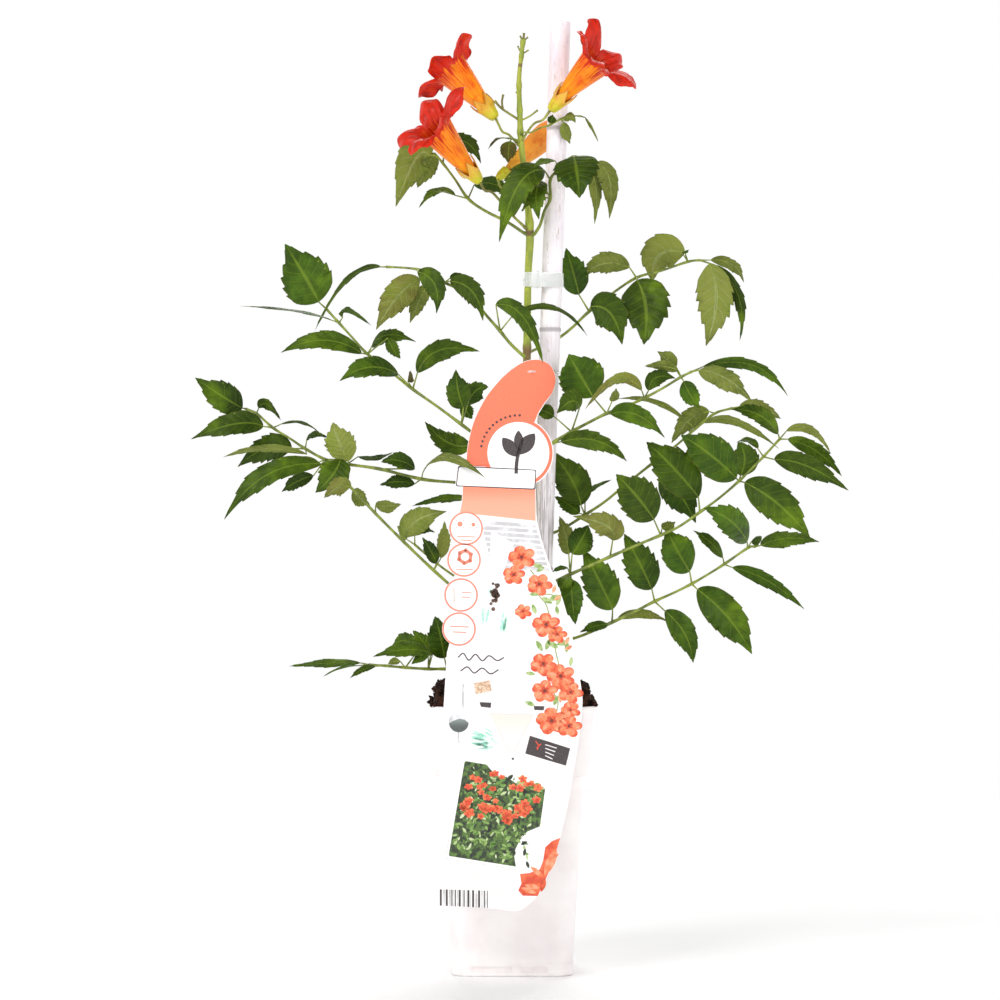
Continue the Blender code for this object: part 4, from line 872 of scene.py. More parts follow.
FRONDS = (
    Frond("frond_crown_left", (
        (8.2, -9, 551), (-4, -8, 559), (-20, -6, 567), (-32.5, -4, 576), (-42, 0, 590), (-51, 4, 602),
        (-56, 6, 608)), (
        Leaflet(3, (-42, -8, 578.5), (-69, -14, 569), 12, 60, (-56, -10, 580.5)),
        Leaflet(3, (-28, 4, 586), (0, 20, 578), 12, 30, (-14, 14, 587)),
        Leaflet(5, (-50, 12, 616), (-23, 18, 602), 13, 30, (-34, 14, 618)),
        Leaflet(5, (-57, 20, 610), (-70, 26, 584), 15, 160),
        Leaflet(6, (-61, 6, 608), (-86, 2, 570), 26, 158, (-72, 8, 604), Tone.LIGHT))),
    Frond("frond_crown_right", (
        (17.2, -12, 550.5), (21, -15, 557), (24, -16, 567), (28.3, -16, 576), (28.3, -16, 590),
        (35, -16, 598), (45, -12, 607), (57, 2, 604)), (
        Leaflet(3, (22, -22, 589), (20, -36, 560.5), 15, 15, (18, -34, 579)),
        Leaflet(3, (20, -13, 578), (7, -17, 566), 8, 60),
        Leaflet(4, (24, -24, 597), (-9.5, -34, 544), 22, 20, (5, -40, 586)),
        Leaflet(5, (32, -22, 604), (14, -30, 598), 9, 55),
        Leaflet(6, (46, -20, 607), (50, -44, 576.5), 31, 4, (48, -34, 595)),
        Leaflet(7, (56, 6, 598), (61, 0, 557), 10, 150, (62, 6, 584)),
        Leaflet(7, (62, 3, 602), (72, -4, 561), 14, 165, (72, 4, 590)))),
    Frond("shoot_young_right", (
        (8.2, -14.5, 625.3), (14, -14, 625), (20, -13, 628), (28, -12, 630.5), (36, -12, 635),
        (43, -10, 637.3), (51, -8, 637)), (
        Leaflet(4, (38, -14, 634), (47, -16, 632), 8, 150, (43, -18, 637)),
        Leaflet(4, (38, -13, 632.5), (43, -11, 616.5), 8, 165),
        Leaflet(3, (28, -14, 632), (30, -15, 638.3), 7, 30),
        Leaflet(6, (54, -8, 636), (64, -6, 617.5), 4.5, 120, (59, -6, 629))), 0.7),
    Frond("shoot_young_left", (
        (3.4, -12, 619.5), (0, -13, 620.5), (-3, -14, 620.6)), (
        Leaflet(2, (-6, -15, 621), (-18, -20, 612), 4.5, 60, (-12, -20, 619), Tone.BROWN),
        Leaflet(1, (-1.6, -18, 618.5), (-3, -20, 602.5), 12, 10, None, Tone.BROWN)), 0.8),
    Frond("frond_left_high", (
        (6.8, -12, 461), (-1.5, -12, 469), (-8.8, -11, 478), (-18, -8, 488.5), (-27, -4, 499),
        (-38, 2, 508), (-50, 8, 514), (-59, 13, 519), (-69, 18, 523.5), (-82, 22, 525), (-93, 26, 525.5)), (
        Leaflet(2, (-12, -22, 497.5), (23, -27, 454), 13, 28, (8, -36, 489)),
        Leaflet(2, (1, -17, 490), (56, -27, 474), 8, 66, (31, -25, 496)),
        Leaflet(6, (-46, -2, 515), (-21.5, -16, 485.5), 16, 20, (-29, -14, 507)),
        Leaflet(6, (-46, 14, 517), (-24, 16, 506), 11, 35, (-37, 15, 516)),
        Leaflet(7, (-62, 26, 513), (-75.5, 34, 484), 12, 160),
        Leaflet(8, (-70, 8, 522), (-56, -2, 491), 15, 14, (-57, -2, 512)),
        Leaflet(8, (-68, 24, 516.5), (-100.5, 30, 479), 21, 166, (-85, 22, 503), Tone.BROWN),
        Leaflet(10, (-97, 27, 525.5), (-146, 34, 478), 9, 62, (-122, 36, 515)))),
    Frond("frond_left_mid", (
        (5.0, -10, 386), (-10, -10, 391), (-24, -12, 399), (-37.5, -16, 409), (-55, -24, 422),
        (-73.5, -32, 435), (-90, -38, 448), (-107, -44, 461), (-118, -48, 473), (-128, -52, 484),
        (-137, -55, 494)), (
        Leaflet(2, (-30, -6, 394), (-64.5, 4, 411), 18, 30, (-47, -2, 395)),
        Leaflet(3, (-36, -20, 421), (-41.5, -30, 449.5), 17, 12, (-40, -30, 434)),
        Leaflet(3, (-33, -13, 423), (-17.5, -16, 436.5), 16, 30, (-27, -18, 434)),
        Leaflet(5, (-84, -40, 446), (-127.5, -60, 441), 17, 30, (-106, -56, 451)),
        Leaflet(5, (-70, -28, 447), (-24, -20, 463), 17, 34, (-54, -24, 464)),
        Leaflet(7, (-111, -46, 461.5), (-171, -56, 462), 15, 30, (-140, -58, 471)),
        Leaflet(7, (-104, -38, 466), (-71, -26, 470), 13, 44, (-92, -28, 475.5)),
        Leaflet(7, (-92, -32, 473), (-82.5, -30, 457.5), 9, 20),
        Leaflet(9, (-133, -54, 486), (-202, -62, 496.5), 7, 74, (-162, -60, 493)),
        Leaflet(9, (-125.5, -46, 488), (-104, -38, 482), 8, 62, (-122, -42, 494)),
        Leaflet(3, (-36, -10, 424), (-29.5, -8, 413), 10, 20),
        Leaflet(5, (-77, -26, 441), (-75, -18, 448), 8, 60, None, Tone.BROWN),
        Leaflet(10, (-143, -57, 499.5), (-168, -66, 542.5), 33, 6, (-153, -68, 518)))),
    Frond("frond_left_long", (
        (6.6, -4, 359), (-20, 2, 364), (-42, 6, 366), (-67, 10, 368.5), (-98, 16, 376), (-122, 22, 379.5),
        (-138, 26, 383), (-153, 30, 391), (-165, 33, 399), (-177, 36, 406.5), (-189, 39, 417),
        (-197, 41, 420.5)), (
        Leaflet(1, (-31, 1, 354), (-74, -4, 348.5), 9, 50, (-52, -2, 353)),
        Leaflet(3, (-66, 1, 373), (-20, -44, 369.5), 10, 128, (-49, -22, 385)),
        Leaflet(3, (-72, 14, 365), (-98, 16, 364), 12, 40),
        Leaflet(4, (-72, 8, 376), (-97, 4, 381), 13, 30, (-84, 2, 382)),
        Leaflet(5, (-121, 14, 381.5), (-132.5, 4, 410.5), 22, 168, (-128, 6, 396), Tone.PALE),
        Leaflet(5, (-114, 28, 385), (-88, 34, 388.5), 7, 60),
        Leaflet(6, (-127, 14, 383), (-145.5, 6, 358.5), 22, 14, (-133, 6, 371)),
        Leaflet(6, (-141, 18, 379.5), (-213, 8, 338.5), 17, 26, (-182, 6, 371)),
        Leaflet(6, (-147, 34, 371), (-170.5, 40, 359), 12, 30),
        Leaflet(7, (-152, 22, 387), (-214, 16, 384.5), 9, 124, (-184, 16, 391), Tone.PALE),
        Leaflet(7, (-163, 38, 391), (-203, 46, 377.5), 20, 20, (-182, 38, 391)),
        Leaflet(9, (-184, 32, 407.5), (-237.5, 26, 398), 18, 22, (-206, 24, 409)),
        Leaflet(9, (-171, 36, 409), (-142, 38, 402), 6, 70, (-156, 36, 411)),
        Leaflet(6, (-143, 32, 381), (-172, 38, 376), 10, 150),
        Leaflet(10, (-187.5, 40, 421), (-171, 36, 412), 9, 40, (-181, 38, 424)),
        Leaflet(7, (-152, 32, 397), (-136, 40, 399), 8, 55, (-147, 36, 402)),
        Leaflet(11, (-199.5, 40, 421), (-234.5, 34, 443.5), 21, 12, (-215, 32, 430)))),
    Frond("frond_left_low", (
        (-0.8, -11.5, 266), (-18, -14, 273), (-38, -18, 284), (-58, -23, 301), (-80, -29, 322),
        (-101, -35, 343), (-119, -40, 362), (-127, -42, 370)), (
        Leaflet(3, (-56, -26, 306), (-66.5, -30, 325.5), 10, 20, None, Tone.DEEP),
        Leaflet(3, (-52.5, -20, 310), (-50, -16, 337.5), 9.5, 165, None, Tone.PALE),
        Leaflet(4, (-79, -30, 325), (-48.5, -26, 344.5), 18, 168, (-70, -34, 338)),
        Leaflet(5, (-101, -30, 349), (-82, -20, 350), 10, 150),
        Leaflet(6, (-119, -44, 363), (-139, -50, 354.5), 14, 155, (-129, -52, 362), Tone.BROWN),
        Leaflet(6, (-118, -34, 360), (-105, -26, 349), 12, 150))),
    Frond("frond_left_low_back", (
        (6.4, -6, 274), (-18, -2, 282), (-43, 4, 297), (-58, 6, 308), (-72, 8, 320)), (
        Leaflet(4, (-72, 8, 327), (-57, 12, 329), 7, 40, (-66, 10, 331)),
        Leaflet(4, (-78, 9, 324), (-85, 14, 334), 8, 150)), 1.1),
    Frond("frond_left_bottom", (
        (-3.4, -10.5, 226.5), (-24, -10, 227), (-48, -12, 228), (-62, -14, 228), (-79, -17, 229),
        (-93, -19, 230.3), (-106, -21, 231.2)), (
        Leaflet(2, (-50, -14, 236), (-57, -22, 267), 20, 14, (-53, -24, 252)),
        Leaflet(3, (-59, -12, 238), (-73.5, -8, 256.5), 12, 20),
        Leaflet(3, (-60, -26, 240), (-103, -34, 237), 12, 34, (-80, -34, 242)),
        Leaflet(4, (-70, -4, 241), (-90, 4, 242), 12, 24, (-80, -2, 249)),
        Leaflet(3, (-62, -30, 239), (-74.5, -34, 231.5), 7, 24),
        Leaflet(6, (-112, -20, 232.5), (-165, -26, 230), 8, 48, (-138, -24, 232)),
        Leaflet(4, (-83, -12, 234), (-92, -10, 231.5), 6, 150),
        Leaflet(6, (-114, -24, 230.5), (-140, -30, 222), 4, 70, (-128, -28, 228)),
        Leaflet(5, (-101, -26, 230), (-120, -32, 221), 6, 40, (-111, -30, 227)))),
    Frond("frond_right_high", (
        (12.6, -4.5, 461), (14.2, 4, 463), (22, 14, 466.5), (34, 16, 472.5), (45, 18, 481), (57, 20, 492.5),
        (73, 23, 505), (92, 27, 517.5), (110, 31, 522.5), (130, 35, 529.3), (139, 37, 530.5)), (
        Leaflet(5, (49.5, 19, 505), (40, 21, 539.5), 21, 18, (45, 16, 522)),
        Leaflet(5, (58, 16, 496), (81.5, 8, 468), 25, 12, (73, 8, 491)),
        Leaflet(7, (87, 30, 525), (51, 36, 518), 17, 148, (68, 30, 528)),
        Leaflet(7, (92.5, 18, 516), (97.5, -2, 468), 34, 5, (99, 8, 495)),
        Leaflet(9, (128, 42, 536), (104, 48, 514), 27, 164, (109, 46, 534), Tone.PALE),
        Leaflet(10, (146, 33, 528), (143.5, 24, 467), 28, 168, (151, 26, 501), Tone.PALE),
        Leaflet(10, (150, 42, 527), (168.5, 34, 471), 10, 36, (168, 38, 503)),
        Leaflet(9, (126, 36, 536), (131, 34, 538.5), 4, 60),
        Leaflet(10, (147, 50, 530.5), (171.5, 52, 514), 10, 148, (163, 52, 527)))),
    Frond("frond_right_mid", (
        (15.4, -14.5, 383), (30, -20, 395), (44, -25, 403.5), (58, -29, 411), (70, -32, 417),
        (85, -36, 422.5), (98, -39, 428.5), (112, -43, 436), (125, -47, 444), (133, -49, 448)), (
        Leaflet(2, (31, -17.5, 415), (17, -16.6, 421), 11, 20),
        Leaflet(2, (50, -32, 421), (33, -36, 417), 16, 18, (44, -40, 426)),
        Leaflet(1, (36, -23, 396), (85, -40, 381.5), 15, 30, (63, -44, 397)),
        Leaflet(4, (60, -26, 429), (42, -22, 461), 31, 10, (50, -22, 446)),
        Leaflet(4, (73, -38, 416.5), (113, -56, 399), 14, 26, (93, -54, 416)),
        Leaflet(6, (96, -46, 434), (54, -50, 420), 10, 132, (78, -52, 442), Tone.BROWN),
        Leaflet(6, (101, -36, 434), (121, -34, 443), 13, 30, (107, -36, 444)),
        Leaflet(8, (123, -42, 449), (98, -34, 452), 9, 140, (112, -38, 452)),
        Leaflet(8, (121, -38, 450), (107.5, -30, 463), 12, 150),
        Leaflet(8, (127, -46, 441), (139, -48, 420.5), 13, 22),
        Leaflet(9, (138, -53, 449), (177.5, -64, 426), 17, 152, (158, -64, 443)),
        Leaflet(4, (74, -26, 426), (77, -20, 436), 7, 150),
        Leaflet(9, (141, -46, 451.5), (204, -48, 430), 10, 38, (178, -46, 453)))),
    Frond("frond_right_back", (
        (11.5, -5.2, 318), (13, 3, 321), (16.5, 10, 324), (26, 14, 327), (38, 15, 332), (54, 18, 342),
        (69, 20, 352), (86, 23, 366), (105, 26, 381), (121, 28, 393), (136, 30, 406), (150, 32, 417),
        (163, 34, 421)), (
        Leaflet(5, (51, 16, 349), (29, 16, 389), 24, 14, (44, 13, 368)),
        Leaflet(5, (54, 20, 357), (74, 26, 368), 7, 60, (61, 22, 363)),
        Leaflet(5, (50, 18, 343), (31.5, 21, 355.5), 12, 22),
        Leaflet(8, (110, 25, 374), (136, 14, 336), 24, 18, (124, 12, 358)),
        Leaflet(10, (128, 26, 412), (76, 20, 427.5), 6, 126, (104, 22, 426)),
        Leaflet(10, (142, 27, 410), (198, 20, 390.5), 8, 140, (166, 20, 411), Tone.LIGHT),
        Leaflet(11, (146, 36, 418.5), (118, 38, 395), 15, 160, (131, 38, 412)),
        Leaflet(12, (168, 35, 422), (199, 36, 413), 14, 155, (184, 34, 421)))),
    Frond("frond_right_long", (
        (13.4, -12, 284), (28, -15, 291), (43, -18, 298), (58, -20, 304.5), (72.5, -22, 311),
        (91, -24, 319), (110, -26, 327), (123, -27, 333), (139, -28, 344), (154, -29, 355), (168, -30, 367),
        (177, -31, 376), (186, -32, 385), (198, -33, 398)), (
        Leaflet(2, (44.5, -12, 313), (56.5, -6, 334.5), 18, 14, None, Tone.DEEP),
        Leaflet(2, (42, -11, 313), (35, 5, 341), 13, 158),
        Leaflet(2, (44, -24, 294), (47, -34, 261), 16, 12),
        Leaflet(2, (42, -22, 296), (36, -32, 285), 11, 30),
        Leaflet(4, (74.5, -26, 323), (45, -32, 341), 18, 164, (70, -36, 334), Tone.BROWN),
        Leaflet(6, (105, -30, 338.5), (77, -38, 372), 28, 8, (92, -40, 356)),
        Leaflet(8, (138, -30, 355), (99.5, -30, 396), 28, 10, (119, -38, 377)),
        Leaflet(10, (166, -32, 369), (125, -44, 401), 27, 10, (146, -48, 387)),
        Leaflet(10, (169, -26, 371), (167, -26, 396), 20, 16, (172, -30, 385), Tone.LIGHT),
        Leaflet(10, (172, -34, 366), (220.5, -46, 325), 24, 8, (197, -48, 350)),
        Leaflet(12, (194, -37, 383), (249, -50, 360), 16, 20, (219, -50, 378)),
        Leaflet(13, (204, -32, 398), (244, -38, 370.5), 12, 26, (226, -38, 389)),
        Leaflet(13, (197, -40, 402), (162, -46, 420), 14, 28, (182, -50, 416)),
        Leaflet(2, (41, -22, 303), (29.5, -27, 299.5), 5, 50),
        Leaflet(6, (111, -20, 332), (121, -16, 337), 9, 150),
        Leaflet(12, (182, -28, 391), (166, -20, 395.5), 7, 50, (175, -24, 397)),
        Leaflet(13, (203, -29, 404), (236, -22, 387), 7, 150, (221, -24, 405), Tone.PALE))),
    Frond("frond_right_bottom", (
        (2, -5.6, 237), (4, 3, 239), (10, 11, 242), (21, 13.5, 246), (47, 11, 251), (74, 8, 262.5),
        (90, 8, 270), (105.5, 7, 278), (120, 5, 284.5), (133, 3, 291), (145, 1, 298), (157, -2, 305.5),
        (174.5, -6, 317.5), (180, -8, 318.5)), (
        Leaflet(5, (74.5, 3, 272), (53, -4, 315.5), 25, 8, (64, -8, 294)),
        Leaflet(5, (78, 12, 265), (117.5, 20, 262), 8, 140, (97, 16, 269), Tone.BROWN),
        Leaflet(7, (103.5, 1, 287), (83, -8, 328), 24, 8, (94, -10, 307)),
        Leaflet(7, (113, 0, 271), (134, -14, 232.5), 17, 20, (128, -12, 254)),
        Leaflet(9, (131.5, 0, 300), (114, -12, 332.5), 23, 12, (122, -14, 316)),
        Leaflet(9, (137, 0, 287), (177.5, -18, 239), 24, 8, (160, -18, 266)),
        Leaflet(11, (156, -4, 310.5), (134, -8, 330.5), 10, 36, (146, -10, 322)),
        Leaflet(11, (163, -4, 303), (216.5, -16, 272), 11, 30, (190, -14, 293)),
        Leaflet(12, (174, -12, 322), (142, -46, 347), 20, 10, (161, -44, 338)),
        Leaflet(12, (177, -2, 322), (185, 2, 326), 8, 40),
        Leaflet(5, (71, 2, 261), (50, -6, 255), 8, 30),
        Leaflet(13, (184, -9, 319.3), (227.5, -18, 322), 15, 40, (204, -18, 325)))),
)


@dataclass(frozen=True)
class Bloom:
    """A trumpet flower in its calyx: its axis as seen, its mouth's radius, each lobe's reach and fold."""

    name: str
    axis: tuple[Place, Place, Place]
    mouth: float
    reaches: tuple[float, ...]
    folds: tuple[float, ...]
    spin: float = 0.0
    around: int = 150
    wall: float = 0.7
    calyx_share: float = 0.36

    def frames(self, shares: Array) -> tuple[Array, Array, Array, Array]:
        """Point, heading, first side and viewer's side at each share of the smooth axis.

        Args:
            shares: 0 at the foot to 1 at the mouth.

        Returns:
            Four (n, 3) arrays.
        """
        route = catmull(seen(np.array(self.axis)), 12)
        place = np.asarray(shares) * (len(route) - 1)
        ahead = unit(along_route(np.gradient(route, axis=0), place))
        first = unit(np.cross(ahead, np.array([0.0, -1.0, 0.0])))
        return along_route(route, place), ahead, first, np.cross(first, ahead)

    def lobes(self, phi: Array) -> tuple[Array, Array, Array]:
        """Reach and fold of the rim at angle phi, and the offset from the lobe's middle, -1..1.

        Reach is the lobe's own reach times cos(offset)^0.6, which makes round lobes with notches between.
        """
        place = (phi - math.radians(self.spin)) / (2 * np.pi) * 5
        lobe = np.round(place).astype(int) % 5
        off = (place - np.round(place)) * 2
        shape = np.maximum(0.08, np.cos(np.abs(off) * np.pi / 2 * 0.98)) ** 0.60
        # the fold is blended across each notch so that neighbouring lobes meet
        folds = np.array(self.folds)
        near = (lobe + np.sign(off).astype(int)) % 5
        blend = 0.5 * smooth(0.55, 1.0, np.abs(off))
        fold = folds[lobe] * (1 - blend) + folds[near] * blend
        return np.array(self.reaches)[lobe] * shape, np.radians(fold), off

    def corolla_rings(self, inward: float) -> tuple[Array, Array]:
        """Rings of the flower's skin: a widening tube, then lobes that fold outwards.

        On a lobe, a point at share s of the reach is start + reach s (ahead cos(lean) + out sin(lean)),
        with lean = fold (0.45 + 0.55 s), so the lobe curls back towards its tip.

        Args:
            inward: depth below the outer skin.

        Returns:
            (rows, around, 3) points and (rows, around, 2) pattern coordinates.
        """
        share = np.linspace(0.06, 1.0, 22)
        marks = catmull([(0.06, 0.25), (0.34, 0.45), (0.68, 0.74), (1.0, 1.0)], 8)
        size = np.interp(share, marks[:, 0], marks[:, 1])
        phi = np.linspace(0, 2 * np.pi, self.around, endpoint=False) + math.radians(self.spin)
        point, ahead, first, near = self.frames(share)
        out = first[:, None] * np.cos(phi)[None, :, None] + near[:, None] * np.sin(phi)[None, :, None]
        ribs = 1.0 + 0.035 * np.cos(5 * (phi - math.radians(self.spin)))[None, :] * share[:, None] ** 2
        radius = self.mouth * size[:, None] * ribs - inward
        tube = point[:, None] + out * radius[..., None]
        reach, fold, off = self.lobes(phi)
        s = np.linspace(0, 1, 16)[1:, None]
        lean = fold[None] * (0.45 + 0.55 * s) + 0.22 * s**3
        rim = out[-1][None]
        head = ahead[-1][None, None]
        step = (reach[None] * s)[..., None]
        level, steep = np.cos(lean)[..., None], np.sin(lean)[..., None]
        lobe = (tube[-1] + rim[0] * inward)[None] + step * (head * level + rim * steep)
        skin = rim * level - head * steep
        crease = -1.3 * s**0.7 * np.exp(-((off[None] / 0.16) ** 2))
        ruffle = 1.7 * s**2 * np.sin(off[None] * 6.5 + phi[None] * 2.0 + 2.2 * s)
        cockle = 0.35 * s * ripple(lobe, 4.5, 6)
        lobe = lobe + skin * (crease + ruffle + cockle - inward)[..., None]
        rings = np.concatenate([tube, lobe])
        along = np.concatenate([share, 1.0 + s[:, 0]])
        uv = grid_uv(phi / (2 * np.pi), along)
        return rings, uv

    def corolla(self, petal: Material) -> Thing:
        """The open trumpet, one closed thin wall."""
        outer, uv = self.corolla_rings(0.0)
        inner, _ = self.corolla_rings(self.wall)
        rings = np.concatenate([outer, inner[::-1]])
        flags = np.zeros((len(rings) - 1, self.around))
        flags[len(outer):] = 1.0
        skin = Skin("corolla_" + self.name + "_petals")
        skin.loft(rings, np.concatenate([uv, uv[::-1]]), WHITE, flags)
        return dress(skin.build([petal]), "petal_red", "corolla_" + self.name)

    def calyx(self, flesh: Material) -> Thing:
        """The cup round the tube's foot; its five teeth rise by 0.7 - 1.35 d^0.8, d the turn from a tip."""
        count = 80
        share = np.linspace(0, self.calyx_share, 14)
        size = np.interp(share, [0.0, 0.05, 0.22, self.calyx_share], [0.24, 0.34, 0.50, 0.62])
        phi = np.linspace(0, 2 * np.pi, count, endpoint=False) + math.radians(self.spin + 12)
        d = np.abs(((phi - math.radians(self.spin + 12)) / (2 * np.pi) * 5 + 0.5) % 1.0 - 0.5) * 2
        point, ahead, first, near = self.frames(share)
        out = first[:, None] * np.cos(phi)[None, :, None] + near[:, None] * np.sin(phi)[None, :, None]
        length = float(np.linalg.norm(seen(self.axis[-1]) - seen(self.axis[0])))
        grow = smooth(0.45, 1.0, share / self.calyx_share)[:, None]
        rise = 0.15 * length * (0.7 - 1.35 * d**0.8)[None] * grow
        flare = 0.55 * grow * (1 - d)[None] + 0.25 * np.cos(5 * phi)[None] * (1 - grow)
        outer = point[:, None] + out * (self.mouth * size[:, None] + flare)[..., None]
        outer = outer + ahead[:, None] * rise[..., None]
        inner = outer[2:] - out[2:] * 0.7
        rings = np.concatenate([outer, inner[::-1]])
        along = np.concatenate([share, share[:1:-1]]) / self.calyx_share
        uv = grid_uv(phi / (2 * np.pi), along)
        skin = Skin("calyx_" + self.name + "_cup")
        skin.loft(rings, uv)
        return dress(skin.build([flesh]), "calyx_yellow_green", "calyx_" + self.name)


BLOOMS = (
    Bloom("low_left", ((-24, -17, 588.5), (-38, -26, 605), (-56, -40, 627)), 12.5, (25, 18, 19, 20, 21),
          (52, 40, 62, 66, 50)),
    Bloom("high_left", ((-12.3, -9.5, 635.5), (-26, -6, 651), (-42, 2, 669)), 12.5, (20, 19, 20, 18, 21),
          (46, 60, 66, 50, 24), 36.0),
    Bloom("right", ((28.5, -18, 641.5), (44, -25, 659), (61.5, -36, 677)), 12.0, (24, 18, 19, 24, 19),
          (58, 50, 40, 34, 60)),
)


@dataclass(frozen=True)
class Bud:
    """The flower that has not opened: a closed, softly ribbed corolla in a small calyx."""

    axis: tuple[Place, ...] = ((-10.5, -3, 591), (8, 9, 607), (24, 22, 622), (35, 27, 633))
    profile: Pairs = ((0.14, 3.0), (0.3, 6.0), (0.52, 8.8), (0.72, 9.2), (0.88, 6.6), (0.98, 2.4))
    cup: Pairs = ((0.0, 2.2), (0.04, 3.6), (0.115, 4.2))

    def body(self, marks: Sequence[tuple[float, float]], rows: int, ribs: float) -> tuple[Array, Array]:
        """Rings round the axis, radius smooth through the marks times 1 + ribs cos(5 turn)."""
        curve = catmull(marks, 8)
        share = np.linspace(marks[0][0], marks[-1][0], rows)
        size = np.interp(share, curve[:, 0], curve[:, 1])
        route = catmull(seen(np.array(self.axis)), 12)
        path = along_route(route, share * (len(route) - 1))
        rings = tube_rings(path, size, 60)
        turn = np.arange(60) / 60.0
        swell = 1.0 + ribs * np.cos(5 * 2 * np.pi * turn)[None, :, None] * np.ones((rows, 1, 1))
        rings = path[:, None] + (rings - path[:, None]) * swell
        return rings, grid_uv(turn, share)

    def build(self, petal: Material, flesh: Material) -> None:
        """Make the bud and its calyx."""
        rings, uv = self.body(self.profile, 36, 0.05)
        skin = Skin("bud_right_petals")
        skin.loft(rings, uv)
        dress(skin.build([petal]), "bud_orange", "bud_right")
        rings, uv = self.body(self.cup, 12, 0.04)
        skin = Skin("calyx_bud_cup")
        skin.loft(rings, uv)
        dress(skin.build([flesh]), "calyx_yellow_green", "calyx_bud")


@dataclass(frozen=True)
class Stem:
    """The main stem with its flower stalks, side twigs and swollen joints."""

    route: tuple[Place, ...] = (
        (-1, -13, 150), (0, -12, 205), (3.5, -10, 260), (8, -9, 330), (10, -9, 400), (11, -9, 457),
        (11.8, -9, 516), (13.3, -9, 549), (11.5, -9, 572), (8.9, -9, 597), (6.5, -9, 620), (5.9, -9, 636),
        (5.2, -9, 664), (7.0, -9, 682), (8.3, -9, 694))
    sizes: tuple[float, ...] = (2.8, 2.8, 2.7, 2.7, 2.7, 2.9, 2.6, 3.0, 2.4, 2.2, 2.2, 2.0, 1.7, 1.5, 1.7)
    twigs: tuple[tuple[float, tuple[Place, ...]], ...] = (
        (1.0, ((11.5, -10, 553), (-1, -13, 565), (-14, -16, 580), (-20, -17, 582), (-23.6, -17, 588.2))),
        (0.9, ((5.5, -9, 615), (-2, -10, 623), (-7, -10, 625.5), (-10, -10, 631), (-12, -9.6, 635.2))),
        (0.9, ((7.5, -10, 619), (12.5, -13, 627), (17, -16, 632), (23, -18, 634.5), (27.9, -18.2, 641))),
        (0.9, ((11.5, -9, 572), (2, -7, 577), (-8, -4, 584), (-10.6, -3.1, 590.5))),
        (0.9, ((5.8, -9, 634), (-3, -10, 639.5), (-8.5, -11, 643.5), (-13, -12, 648.5))),
        (0.8, ((-7, -11, 643), (-7.4, -11, 648), (-6.5, -11, 653))),
        (0.7, ((6, -9, 633.5), (13, -8, 637), (19, -7, 641.5))),
        (0.6, ((7, -9, 683), (10, -9, 684.5), (12.3, -9, 686))),
        (0.6, ((7, -9, 683.5), (5.6, -9, 686), (4.2, -9, 689))),
        (0.7, ((8.2, -9, 692), (10, -9, 694), (11.8, -9, 695.5))),
        (0.7, ((8.2, -9, 692), (7, -9, 694.5), (6.0, -9, 696.5))),
        (0.9, ((8.3, -9, 692.5), (8.6, -9, 695.5), (8.9, -9, 698.5))),
        (0.6, ((5.4, -9, 652), (4, -9.3, 653.8), (2.8, -9.5, 655))))
    joints: tuple[float, ...] = (228, 267, 287, 321, 360, 387, 459, 551, 574, 618, 634, 652, 674, 684)

    def path(self) -> tuple[Array, Array]:
        """Centre line and radius, with a swelling of exp(-((z - joint) / 2.6)^2) at each joint."""
        line = catmull(seen(np.array(self.route)), 14)
        size = catmull(np.array(self.sizes)[:, None], 14)[:, 0]
        for joint in self.joints:
            size = size + 0.5 * np.exp(-(((line[:, 2] - joint) / 2.6) ** 2))
        return line, size

    def at(self, z: float) -> Array:
        """The stem's centre at a true height z."""
        line, _ = self.path()
        return np.array([np.interp(z, line[:, 2], line[:, k]) for k in range(3)])

    def build(self, bark: Material, twig: Material) -> Thing:
        """Make the stem and all that is joined to it."""
        skin = Skin("main_stem_shoot")
        line, size = self.path()
        skin.tube(line, size, 20)
        for radius, points in self.twigs:
            run = catmull(seen(np.array(points)), 8)
            share = np.linspace(0, 1, len(run))
            swell = 1.0 + 0.5 * np.exp(-((share / 0.07) ** 2)) + 0.25 * np.exp(-(((share - 1) / 0.1) ** 2))
            skin.tube(run, radius * swell, 10, slot=1)
        return dress(skin.build([bark, twig]), "stem_green", "main_stem")


@dataclass(frozen=True)
class Cane:
    """A straight bamboo cane, ringed at each node and cut square at the top."""

    foot: Place = (13.5, 0.0, 33.5)
    top: Place = (35.9, 0.0, 700.2)
    radius: float = 7.5

    def at(self, z: Any) -> Array:
        """The cane's centre at height z."""
        z = np.asarray(z, float)
        share = (z - self.foot[2]) / (self.top[2] - self.foot[2])
        return np.stack([self.foot[0] + (self.top[0] - self.foot[0]) * share, 0 * z, z], -1)

    def build(self, bamboo: Material) -> Thing:
        """Make the cane: radius 7.5 with a ridge exp(-(dz / 1.5)^2) and a groove above it at each node."""
        z = np.concatenate([np.linspace(self.foot[2], self.top[2] - 1.0, 260),
                            self.top[2] - np.array([0.6, 0.25, 0.0])])
        for node in CANE_NODES:
            z = np.concatenate([z, node + np.linspace(-6, 6, 25)])
        z = np.unique(np.round(z, 3))
        radius = np.full(len(z), self.radius) - 0.5 * smooth(self.top[2] - 0.7, self.top[2], z) ** 2
        for node in CANE_NODES:
            radius += 0.55 * np.exp(-(((z - node) / 1.5) ** 2))
            radius -= 0.35 * np.exp(-(((z - node - 2.4) / 0.9) ** 2))
        path = self.at(z)
        rings = tube_rings(path, radius, 64)
        wobble = 0.12 * ripple(rings * np.array([1.0, 1.0, 0.12]), 9.0, 5)
        rings = path[:, None] + (rings - path[:, None]) * (1 + wobble / self.radius)[..., None]
        skin = Skin("cane_bamboo")
        skin.loft(rings)
        return dress(skin.build([bamboo], 50), "whitewashed_bamboo", "cane")


